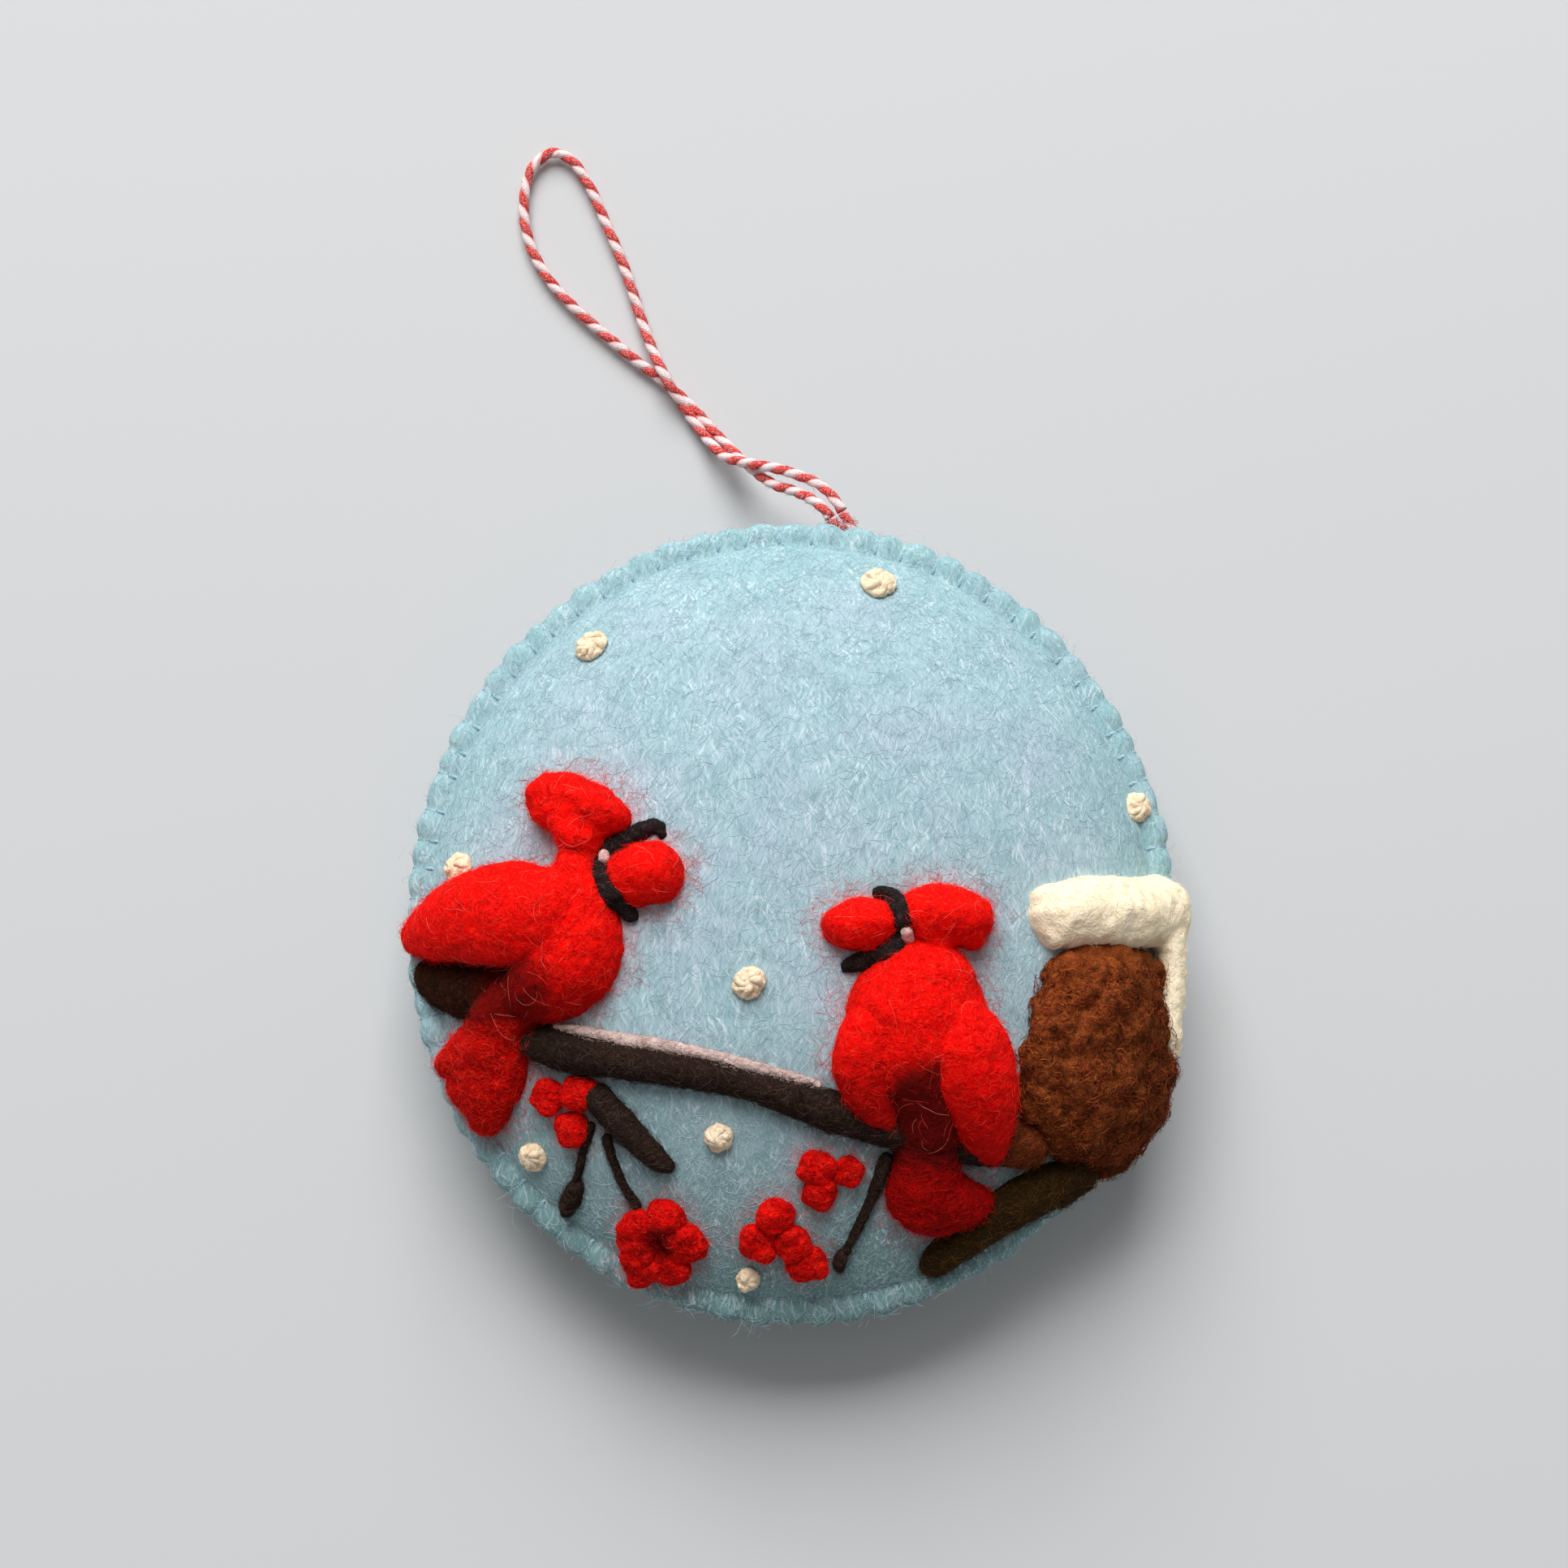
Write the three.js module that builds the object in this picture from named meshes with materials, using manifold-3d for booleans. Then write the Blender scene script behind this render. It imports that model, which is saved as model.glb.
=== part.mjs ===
import * as THREE from "three";
import { mergeVertices } from "three/addons/utils/BufferGeometryUtils.js";
import Module from "manifold-3d";

// A stuffed round felt ornament with wool relief on its face and a twine loop at its top edge.
// It lies on its back. Sizes are millimetres, +Z points out of the face, +Y points to the loop.

const wasm = await Module();
wasm.setup();

// Driving dimensions of the stuffed disc
const discWidth = 87;
const discHeight = 91;
const feltThickness = 2;
const frontCrown = 13;
const backCrown = 9.5;
const restingCut = 0.5;
const seamGap = 0.3;
const clearance = 0.3;

// The stitched edge
const stitchCount = 76;
const stitchBand = 3;
const scallopDepth = 0.55;
const scallopDip = 0.3;
const edgeBevel = 0.9;
const overhangDrop = 1.2;
const threadThickness = 0.7;
const runThickness = 0.45;
const innerInset = 1.4;

// The twine and the knot that holds it inside the seam
const twineThickness = 1.3;
const twinePitch = 1.6;
const twineSides = 8;
const twineSteps = 46;
const knotRadius = 2.2;
const knotDepth = 12;
const tailReach = 1.56;

// The relief: heights above the felt
const birdRise = 6.5;
const wingRise = 3.4;
const wingLift = 4.2;
const headRise = 5.2;
const beakRise = 4.6;
const tailRise = 4.6;
const patchRise = 2.2;
const trunkRise = 5.6;
const snowRise = 5;
const stripRise = 3.4;
const branchRise = 2.6;
const twigRise = 1.5;
const stubRise = 2;
const budRise = 1.9;
const stemRise = 1;
const berryRise = 3;
const frenchKnotRise = 1.5;
const maskThickness = 0.9;
const eyeThickness = 0.6;
const branchSnowThickness = 0.8;

// Shares that shape the swell of the stuffed disc
const swellPowerShare = 2.4;
const swellEdgeShare = 0.8;
const frontRingShares = [0.92, 0.8, 0.65, 0.48, 0.3, 0.15, 0];
const frontRingCounts = [76, 76, 76, 38, 38, 19, 1];
const innerRingShares = [1, 0.86, 0.6, 0.3, 0];
const innerRingCounts = [76, 38, 38, 19, 1];

const halfWidth = discWidth / 2;
const halfHeight = discHeight / 2;
const seamHeight = seamGap / 2 + feltThickness + backCrown - restingCut;
const faceStep = seamGap / 2 + feltThickness;

// Where the twine leaves the edge, and the way it leaves
const exitAngle = THREE.MathUtils.degToRad(82.3);
const twineHeading = THREE.MathUtils.degToRad(120);

// Distance from the disc's centre to its edge along an angle
function rimRadius(angle) {
  return 1 / Math.hypot(Math.cos(angle) / halfWidth, Math.sin(angle) / halfHeight);
}

// Height that the stuffing lifts the felt at a share of the way out to the stitched band
function swell(share, crown) {
  const rest = Math.max(1 - Math.pow(share, swellPowerShare), 0);
  return crown * Math.pow(rest, swellEdgeShare);
}

function ring(count, radiusOf, heightOf) {
  return Array.from({ length: count }, (_, k) => {
    const angle = exitAngle + (k * 2 * Math.PI) / count;
    const radius = radiusOf(angle, k);
    return new THREE.Vector3(
      radius * Math.cos(angle),
      radius * Math.sin(angle),
      heightOf(angle, k),
    );
  });
}

// Triangles between two rings that have the same count, or of which the second has half or one point
function bridge(outer, inner) {
  const faces = [];
  const n = outer.length;
  const m = inner.length;
  for (let k = 0; k < m; k += 1) {
    const next = (k + 1) % m;
    if (m === n) {
      faces.push([outer[k], outer[next], inner[next]], [outer[k], inner[next], inner[k]]);
    } else if (m * 2 === n) {
      const middle = outer[2 * k + 1];
      faces.push([outer[2 * k], middle, inner[k]]);
      faces.push([middle, outer[(2 * k + 2) % n], inner[next]]);
      faces.push([middle, inner[next], inner[k]]);
    }
  }
  if (m === 1) {
    outer.forEach((point, k) => faces.push([point, outer[(k + 1) % n], inner[0]]));
  }
  return faces;
}

function sheet(rings) {
  return rings.slice(1).flatMap((inner, k) => bridge(rings[k], inner));
}

function geometryOf(faces) {
  const positions = new Float32Array(faces.flat().flatMap((p) => [p.x, p.y, p.z]));
  const geometry = new THREE.BufferGeometry();
  geometry.setAttribute("position", new THREE.BufferAttribute(positions, 3));
  return geometry;
}

// A closed geometry as a solid whose faces point out
function solidOf(geometry) {
  const bare = geometry.clone();
  bare.deleteAttribute("normal");
  bare.deleteAttribute("uv");
  const merged = mergeVertices(bare);
  const build = (triVerts) =>
    new wasm.Manifold(
      new wasm.Mesh({
        numProp: 3,
        vertProperties: merged.attributes.position.array,
        triVerts,
      }),
    );
  const corners = Uint32Array.from(merged.index.array);
  const solid = build(corners);
  return solid.volume() < 0 ? build(corners.reverse()) : solid;
}

function meshOf(name, solid, material) {
  const { vertProperties, triVerts } = solid.getMesh();
  const geometry = new THREE.BufferGeometry();
  geometry.setAttribute("position", new THREE.BufferAttribute(vertProperties, 3));
  geometry.setIndex(new THREE.BufferAttribute(triVerts, 1));
  geometry.computeVertexNormals();
  const mesh = new THREE.Mesh(geometry, material);
  mesh.name = name;
  return mesh;
}

function finish(color, roughness) {
  return new THREE.MeshStandardMaterial({ color, roughness, metalness: 0 });
}

// A closed tube of sections with a point at each end
function loft(sections, startPoint, endPoint) {
  const cap = bridge(sections[0], [startPoint]).map(([a, b, c]) => [b, a, c]);
  return solidOf(geometryOf([...cap, ...sheet([...sections, [endPoint]])]));
}

// One felt: an outer face, a stitched edge with scallops, and an inner face
function feltPanel(side, crown, ringShares, ringCounts, floor, innerFloor) {
  const at = (height, lowest) => Math.max(seamHeight + side * height, lowest);
  const scallop = (k) => (k % 2 ? scallopDepth : -scallopDepth) / 2;
  const dip = (k) => (k % 2 ? 0 : scallopDip);
  const edgeCount = 2 * stitchCount;
  const lip = ring(
    edgeCount,
    (angle, k) => rimRadius(angle) + scallop(k) - edgeBevel,
    () => seamHeight + (side * seamGap) / 2,
  );
  const waist = ring(
    edgeCount,
    (angle, k) => rimRadius(angle) + scallop(k),
    () => seamHeight + side * (faceStep - feltThickness / 2),
  );
  const brow = ring(
    edgeCount,
    (angle, k) => rimRadius(angle) + scallop(k) - edgeBevel / 2,
    (angle, k) => seamHeight + side * (faceStep - dip(k)),
  );
  const band = ring(
    stitchCount,
    (angle) => rimRadius(angle) - stitchBand,
    () => seamHeight + side * faceStep,
  );
  const domeRings = ringShares.map((share, k) =>
    ring(
      ringCounts[k],
      (angle) => (rimRadius(angle) - stitchBand) * share,
      () => at(faceStep + swell(share, crown), floor),
    ),
  );
  const hollowRings = innerRingShares.map((share, k) =>
    ring(
      innerRingCounts[k],
      (angle) => (rimRadius(angle) - stitchBand - innerInset) * share,
      () => at(seamGap / 2 + swell(share, crown), innerFloor),
    ),
  );
  const faces = [
    ...sheet([lip, waist, brow, band, ...domeRings]),
    ...sheet([lip, ...hollowRings]).map(([a, b, c]) => [b, a, c]),
  ];
  return solidOf(geometryOf(faces));
}

// The share of the way out at which the swollen back meets the resting plane
const flatShare = Math.pow(
  1 - Math.pow(1 - restingCut / backCrown, 1 / swellEdgeShare),
  1 / swellPowerShare,
);
const backRingShares = [0.87, 0.65, flatShare, 0.15, 0];
const backRingCounts = [76, 38, 38, 19, 1];

// The lens of loose fibre between the two felts
function stuffingLens() {
  const half = (side, crown, lowest) =>
    innerRingShares.slice(1).map((share, k) =>
      ring(
        innerRingCounts[k + 1],
        (angle) => (rimRadius(angle) - stitchBand - innerInset - clearance) * share,
        () => Math.max(seamHeight + side * (swell(share, crown) - clearance / 2), lowest),
      ),
    );
  const edge = ring(
    innerRingCounts[1],
    (angle) => rimRadius(angle) - stitchBand - 2 * innerInset - clearance,
    () => seamHeight,
  );
  const top = sheet([edge, ...half(1, frontCrown - clearance, 0)]);
  const under = sheet([edge, ...half(-1, backCrown - clearance, feltThickness + clearance)]);
  return solidOf(geometryOf([...top, ...under.map(([a, b, c]) => [b, a, c])]));
}

// Height of the front felt, and the way its surface faces
function feltHeight(x, y) {
  const angle = Math.atan2(y, x);
  const share = Math.hypot(x, y) / (rimRadius(angle) - stitchBand);
  return seamHeight + faceStep + (share < 1 ? swell(share, frontCrown) : 0);
}

function feltNormal(x, y) {
  const span = feltThickness / 2;
  const slopeX = (feltHeight(x + span, y) - feltHeight(x - span, y)) / (2 * span);
  const slopeY = (feltHeight(x, y + span) - feltHeight(x, y - span)) / (2 * span);
  return new THREE.Vector3(-slopeX, -slopeY, 1).normalize();
}

// The space that the felt and its stitches take up, with room round it
function feltEnvelope(extra) {
  const room = clearance + extra;
  const stack = clearance + threadThickness + room;
  const reach = scallopDepth / 2 + stack;
  const bottom = seamHeight - frontCrown;
  const shelf = seamHeight - overhangDrop;
  const wallRadius = (angle) => rimRadius(angle) + reach;
  const skirtRadius = (angle) => wallRadius(angle) + frontCrown;
  const low = ring(stitchCount, skirtRadius, () => bottom);
  const wide = ring(stitchCount, skirtRadius, () => shelf);
  const fold = ring(stitchCount, wallRadius, () => shelf);
  const high = ring(stitchCount, wallRadius, () => seamHeight + faceStep + stack);
  const foot = ring(
    stitchCount,
    (angle) => rimRadius(angle) - stitchBand + room,
    () => seamHeight + faceStep + stack,
  );
  const domeRings = frontRingShares.map((share, k) =>
    ring(
      frontRingCounts[k],
      (angle) => (rimRadius(angle) - stitchBand + room) * share,
      () => seamHeight + faceStep + swell(share, frontCrown) + room,
    ),
  );
  const centre = new THREE.Vector3(0, 0, bottom);
  const faces = [
    ...sheet([low, wide, fold, high, foot, ...domeRings]),
    ...bridge(low, [centre]).map(([a, b, c]) => [b, a, c]),
  ];
  return solidOf(geometryOf(faces));
}

// A form of packed wool that swells along a spine on the felt. The spine is written as shares of
// the disc's half width: place across, place up, and half the form's width there.
function woolForm({ spineShares, rise, lift = 0, steps = 7, sides = 10 }, grow) {
  const line = new THREE.CatmullRomCurve3(
    spineShares.map(([x, y]) => new THREE.Vector3(x * halfWidth, y * halfWidth, 0)),
  );
  const widths = new THREE.CatmullRomCurve3(
    spineShares.map(([, , half], k) => new THREE.Vector3(half * halfWidth, k * halfWidth, 0)),
  );
  const widest = Math.max(...spineShares.map(([, , half]) => half * halfWidth));
  const frames = Array.from({ length: steps + 1 }, (_, k) => {
    const point = line.getPoint(k / steps);
    const along = line.getTangent(k / steps);
    const half = widths.getPoint(k / steps).x;
    const normal = feltNormal(point.x, point.y);
    const side = new THREE.Vector3().crossVectors(normal, along).normalize();
    point.z = feltHeight(point.x, point.y);
    point.addScaledVector(normal, lift);
    return { point, along, normal, side, half };
  });
  const sections = frames.map(({ point, normal, side, half }) => {
    const across = half / Math.hypot(side.x, side.y) + grow;
    const up = rise * Math.sqrt(half / widest) + grow;
    return Array.from({ length: sides }, (_, k) => {
      const turn = (k * 2 * Math.PI) / sides;
      return point
        .clone()
        .addScaledVector(side, across * Math.cos(turn))
        .addScaledVector(normal, up * Math.sin(turn));
    });
  });
  const first = frames[0];
  const last = frames[steps];
  const start = first.point.clone().addScaledVector(first.along, -first.half / 2 - grow);
  const end = last.point.clone().addScaledVector(last.along, last.half / 2 + grow);
  return loft(sections, start, end);
}

// A small round of wool or thread on the felt, written as shares: across, up, radius
function roundForm({ placeShare, rise, squashShare = 1 }, grow) {
  const [x, y, radius] = placeShare.map((share) => share * halfWidth);
  const normal = feltNormal(x, y);
  const geometry = new THREE.SphereGeometry(1, 8, 6);
  geometry.rotateX(Math.PI / 2);
  geometry.scale(radius + grow, radius * squashShare + grow, rise + grow);
  const turn = new THREE.Quaternion().setFromUnitVectors(new THREE.Vector3(0, 0, 1), normal);
  geometry.applyQuaternion(turn);
  geometry.translate(x, y, feltHeight(x, y));
  return solidOf(geometry);
}

// An upright wall over a path on the face, which trims a thin layer to a band
function bandWall({ spineShares, steps = 8 }, grow) {
  const line = new THREE.CatmullRomCurve3(
    spineShares.map(([x, y]) => new THREE.Vector3(x * halfWidth, y * halfWidth, 0)),
  );
  const widths = new THREE.CatmullRomCurve3(
    spineShares.map(([, , half], k) => new THREE.Vector3(half * halfWidth, k * halfWidth, 0)),
  );
  const low = seamHeight;
  const high = seamHeight + 2 * frontCrown;
  const sections = Array.from({ length: steps + 1 }, (_, k) => {
    const point = line.getPoint(k / steps);
    const along = line.getTangent(k / steps);
    const half = widths.getPoint(k / steps).x + grow;
    const side = new THREE.Vector3(-along.y, along.x, 0);
    const left = point.clone().addScaledVector(side, half);
    const right = point.clone().addScaledVector(side, -half);
    return [
      new THREE.Vector3(left.x, left.y, low),
      new THREE.Vector3(right.x, right.y, low),
      new THREE.Vector3(right.x, right.y, high),
      new THREE.Vector3(left.x, left.y, high),
    ];
  });
  const middle = (points) =>
    points.reduce((sum, p) => sum.add(p), new THREE.Vector3()).divideScalar(points.length);
  return loft(sections, middle(sections[0]), middle(sections[steps]));
}

function largestOf(solid) {
  return solid.decompose().reduce((a, b) => (a.volume() > b.volume() ? a : b));
}

function boxesMeet(a, b) {
  return [0, 1, 2].every((k) => a.min[k] <= b.max[k] && b.min[k] <= a.max[k]);
}

// Pieces already on the face, each with a function that makes it grown by a distance
const placed = [];
const bareEnvelope = feltEnvelope(0);

function nearSolids(solid, grow) {
  const box = solid.boundingBox();
  return placed.map(({ make }) => make(grow)).filter((other) => boxesMeet(box, other.boundingBox()));
}

// A form seated on the felt and clear of the pieces that lie there already
function seat(make) {
  const whole = make(0);
  const clear = nearSolids(whole, clearance).reduce(
    (solid, other) => solid.subtract(other),
    whole.subtract(bareEnvelope),
  );
  placed.push({ make });
  return largestOf(clear);
}

// A thin layer that lies over the felt and the pieces under it
function drape(band, thickness, lift) {
  const wall = bandWall(band, 0);
  const under = (extra) =>
    nearSolids(wall, clearance + extra).reduce(
      (solid, other) => solid.add(other),
      feltEnvelope(extra),
    );
  return largestOf(wall.intersect(under(lift + thickness)).subtract(under(lift)));
}

// The relief on the face, largest pieces first. Spines are shares of the disc's half width.
const trunkForms = {
  trunk_wool: {
    spineShares: [
      [0.81, -0.05, 0.1],
      [0.8, -0.16, 0.14],
      [0.785, -0.3, 0.17],
      [0.775, -0.45, 0.185],
      [0.745, -0.58, 0.175],
      [0.715, -0.67, 0.1],
    ],
    rise: trunkRise,
    sides: 12,
  },
  snow_cap: {
    spineShares: [
      [0.59, 0, 0.05],
      [0.68, -0.015, 0.09],
      [0.79, -0.01, 0.1],
      [0.9, 0, 0.105],
      [0.97, 0.01, 0.085],
    ],
    rise: snowRise,
  },
  snow_strip: {
    spineShares: [
      [0.955, -0.06, 0.05],
      [0.975, -0.16, 0.04],
      [0.975, -0.26, 0.03],
      [0.965, -0.37, 0.016],
    ],
    rise: stripRise,
    sides: 8,
  },
};

const branchForms = {
  main_branch: {
    spineShares: [
      [-0.65, -0.34, 0.03],
      [-0.58, -0.345, 0.05],
      [-0.43, -0.37, 0.056],
      [-0.23, -0.41, 0.05],
      [-0.03, -0.46, 0.05],
      [0.13, -0.5, 0.058],
      [0.27, -0.55, 0.062],
      [0.42, -0.59, 0.062],
      [0.57, -0.59, 0.05],
    ],
    rise: branchRise,
    steps: 12,
    sides: 8,
  },
  lower_branch: {
    spineShares: [
      [0.66, -0.68, 0.045],
      [0.56, -0.76, 0.04],
      [0.45, -0.83, 0.034],
      [0.34, -0.895, 0.02],
    ],
    rise: branchRise,
    sides: 8,
  },
};

const leftBirdForms = {
  left_bird_body: {
    spineShares: [
      [-0.455, 0.1, 0.055],
      [-0.51, 0.02, 0.105],
      [-0.57, -0.08, 0.155],
      [-0.64, -0.17, 0.145],
      [-0.72, -0.245, 0.095],
      [-0.76, -0.29, 0.06],
    ],
    rise: birdRise,
  },
  left_bird_wing: {
    spineShares: [
      [-0.965, -0.09, 0.02],
      [-0.89, -0.055, 0.07],
      [-0.78, -0.02, 0.115],
      [-0.67, -0.01, 0.135],
      [-0.58, -0.02, 0.105],
      [-0.54, -0.03, 0.05],
    ],
    rise: wingRise,
    lift: wingLift,
  },
  left_bird_tail: {
    spineShares: [
      [-0.74, -0.27, 0.06],
      [-0.765, -0.36, 0.1],
      [-0.77, -0.45, 0.094],
      [-0.755, -0.53, 0.05],
      [-0.75, -0.57, 0.02],
    ],
    rise: tailRise,
    steps: 6,
  },
  left_bird_head: {
    spineShares: [
      [-0.66, 0.26, 0.025],
      [-0.6, 0.26, 0.07],
      [-0.53, 0.23, 0.085],
      [-0.47, 0.17, 0.075],
      [-0.44, 0.1, 0.045],
    ],
    rise: headRise,
    steps: 6,
  },
  left_bird_beak: {
    spineShares: [
      [-0.42, 0.095, 0.05],
      [-0.35, 0.08, 0.085],
      [-0.28, 0.07, 0.045],
    ],
    rise: beakRise,
    steps: 4,
  },
  left_bird_flight_feathers: {
    spineShares: [
      [-0.94, -0.14, 0.02],
      [-0.87, -0.18, 0.055],
      [-0.79, -0.205, 0.065],
      [-0.72, -0.215, 0.045],
    ],
    rise: patchRise,
    steps: 5,
    sides: 8,
  },
};

const rightBirdForms = {
  right_bird_body: {
    spineShares: [
      [0.35, -0.11, 0.055],
      [0.32, -0.19, 0.13],
      [0.31, -0.28, 0.195],
      [0.33, -0.38, 0.2],
      [0.34, -0.47, 0.14],
      [0.35, -0.55, 0.07],
    ],
    rise: birdRise,
    sides: 12,
  },
  right_bird_near_wing: {
    spineShares: [
      [0.42, -0.26, 0.06],
      [0.46, -0.38, 0.1],
      [0.48, -0.5, 0.09],
      [0.5, -0.58, 0.055],
      [0.51, -0.64, 0.02],
    ],
    rise: wingRise,
    lift: wingLift - wingRise / 2,
    steps: 6,
  },
  right_bird_far_wing: {
    spineShares: [
      [0.21, -0.24, 0.05],
      [0.17, -0.34, 0.08],
      [0.18, -0.44, 0.075],
      [0.23, -0.54, 0.03],
    ],
    rise: wingRise,
    lift: wingLift - wingRise / 2,
    steps: 5,
  },
  right_bird_tail: {
    spineShares: [
      [0.33, -0.5, 0.08],
      [0.33, -0.58, 0.095],
      [0.35, -0.66, 0.115],
      [0.365, -0.73, 0.125],
      [0.355, -0.79, 0.06],
    ],
    rise: tailRise,
    steps: 6,
  },
  right_bird_head: {
    spineShares: [
      [0.28, -0.04, 0.055],
      [0.35, -0.03, 0.082],
      [0.43, -0.03, 0.086],
      [0.49, -0.04, 0.05],
    ],
    rise: headRise,
    steps: 5,
  },
  right_bird_beak: {
    spineShares: [
      [0.09, -0.06, 0.035],
      [0.16, -0.06, 0.068],
      [0.23, -0.06, 0.045],
    ],
    rise: beakRise,
    steps: 4,
  },
};

const twigForms = {
  twig_stub: {
    spineShares: [
      [-0.47, -0.46, 0.028],
      [-0.42, -0.51, 0.032],
      [-0.35, -0.59, 0.03],
      [-0.31, -0.64, 0.02],
    ],
    rise: stubRise,
    steps: 4,
    sides: 8,
  },
  left_bud_twig: {
    spineShares: [
      [-0.495, -0.55, 0.018],
      [-0.52, -0.62, 0.018],
      [-0.54, -0.68, 0.016],
    ],
    rise: stemRise,
    steps: 3,
    sides: 6,
  },
  berry_stem: {
    spineShares: [
      [-0.455, -0.56, 0.017],
      [-0.43, -0.64, 0.016],
      [-0.38, -0.73, 0.016],
    ],
    rise: stemRise,
    steps: 3,
    sides: 6,
  },
  right_bud_twig: {
    spineShares: [
      [0.22, -0.63, 0.03],
      [0.2, -0.71, 0.022],
      [0.17, -0.78, 0.017],
      [0.145, -0.84, 0.016],
    ],
    rise: twigRise,
    steps: 4,
    sides: 6,
  },
};

const budShares = { left_bud: [-0.55, -0.715, 0.032], right_bud: [0.125, -0.885, 0.028] };

const berryShares = [
  [-0.6, -0.47, 0.047],
  [-0.525, -0.46, 0.04],
  [-0.55, -0.56, 0.04],
  [-0.3, -0.765, 0.042],
  [-0.24, -0.84, 0.042],
  [-0.27, -0.91, 0.042],
  [-0.35, -0.895, 0.04],
  [-0.4, -0.84, 0.04],
  [-0.38, -0.775, 0.038],
  [-0.04, -0.76, 0.043],
  [-0.085, -0.83, 0.043],
  [0.015, -0.83, 0.043],
  [0.05, -0.9, 0.043],
  [0.07, -0.65, 0.046],
  [0.145, -0.65, 0.036],
  [0.075, -0.72, 0.036],
];

const frenchKnotShares = [
  [-0.51, 0.68, 0.042],
  [0.22, 0.85, 0.045],
  [0.87, 0.27, 0.038],
  [-0.845, 0.115, 0.037],
  [-0.11, -0.2, 0.041],
  [-0.18, -0.57, 0.035],
  [-0.65, -0.61, 0.038],
  [-0.1, -0.92, 0.032],
];

const maskBands = {
  left_bird_mask: [
    [-0.33, 0.19, 0.018],
    [-0.4, 0.15, 0.02],
    [-0.455, 0.11, 0.02],
    [-0.46, 0.06, 0.02],
    [-0.42, 0.01, 0.018],
    [-0.38, -0.03, 0.016],
  ],
  right_bird_mask: [
    [0.22, 0.02, 0.018],
    [0.27, -0.01, 0.02],
    [0.295, -0.05, 0.022],
    [0.28, -0.1, 0.022],
    [0.21, -0.135, 0.02],
    [0.13, -0.155, 0.016],
  ],
};

const eyeBands = {
  left_bird_eye: [
    [-0.473, 0.105, 0.014],
    [-0.46, 0.108, 0.019],
    [-0.447, 0.111, 0.014],
  ],
  right_bird_eye: [
    [0.287, -0.075, 0.014],
    [0.3, -0.072, 0.019],
    [0.313, -0.069, 0.014],
  ],
};

const branchSnowShares = [
  [-0.53, -0.305, 0.012],
  [-0.39, -0.33, 0.016],
  [-0.19, -0.37, 0.016],
  [-0.03, -0.41, 0.016],
  [0.08, -0.44, 0.012],
];

// The route of the twine, from the seam out to the top of the loop and back to the seam
const twineRoute = [
  [5.85, 47.06, 11.15],
  [5.15, 48.2, 11.05],
  [3.6, 50.05, 10.5],
  [1.0, 51.65, 9.2],
  [-1.6, 52.9, 7.5],
  [-4.5, 53.9, 5.8],
  [-7.9, 55.6, 2.9],
  [-10.2, 58.4, 1.2],
  [-12.4, 61.6, 0.9],
  [-14.9, 65.3, 2.35],
  [-16.6, 69.2, 1.2],
  [-18.1, 73.5, 0.72],
  [-19.9, 79.1, 0.72],
  [-22.4, 85.2, 0.72],
  [-24.4, 89.7, 0.72],
  [-26.6, 92.8, 0.72],
  [-28.9, 93.6, 0.72],
  [-31.1, 91.8, 0.72],
  [-32.1, 88.0, 0.72],
  [-31.6, 83.0, 0.72],
  [-29.4, 78.4, 0.72],
  [-26.2, 74.6, 0.72],
  [-21.8, 70.6, 0.72],
  [-18.2, 67.6, 0.72],
  [-15.1, 65.2, 0.72],
  [-12.0, 62.3, 0.72],
  [-9.6, 59.6, 0.75],
  [-7.3, 56.9, 1.6],
  [-4.7, 53.8, 4.1],
  [-2.0, 51.3, 6.4],
  [0.3, 50.1, 8.2],
  [2.4, 48.6, 10.1],
  [3.75, 47.3, 11.05],
  [4.47, 46.26, 11.15],
];

function roundSection(radius, sides) {
  const points = Array.from({ length: sides }, (_, k) => {
    const turn = (k * 2 * Math.PI) / sides;
    return new THREE.Vector2(radius * Math.cos(turn), radius * Math.sin(turn));
  });
  return new THREE.Shape(points);
}

function tubeAlong(path, radius, sides, steps) {
  const options = { steps, extrudePath: path, bevelEnabled: false };
  return new THREE.ExtrudeGeometry(roundSection(radius, sides), options);
}

// The knot inside the seam, with the two tails of the twine that pass out between the felts
function anchorKnot(grow) {
  const exit = new THREE.Vector3(
    rimRadius(exitAngle) * Math.cos(exitAngle),
    rimRadius(exitAngle) * Math.sin(exitAngle),
    seamHeight,
  );
  const along = new THREE.Vector3(Math.cos(twineHeading), Math.sin(twineHeading), 0);
  const across = new THREE.Vector3(-along.y, along.x, 0);
  const centre = exit.clone().addScaledVector(along, -knotDepth);
  const ball = new THREE.SphereGeometry(knotRadius + grow, 10, 8);
  ball.translate(centre.x, centre.y, centre.z);
  return [-1, 1].reduce((solid, side) => {
    const shift = across.clone().multiplyScalar((side * twinePitch) / 2);
    const from = centre.clone().add(shift);
    const to = exit.clone().add(shift).addScaledVector(along, tailReach + grow);
    const tail = tubeAlong(
      new THREE.LineCurve3(from, to),
      twineThickness / 2 + grow,
      twineSides,
      1,
    );
    return solid.add(solidOf(tail));
  }, solidOf(ball));
}

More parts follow.
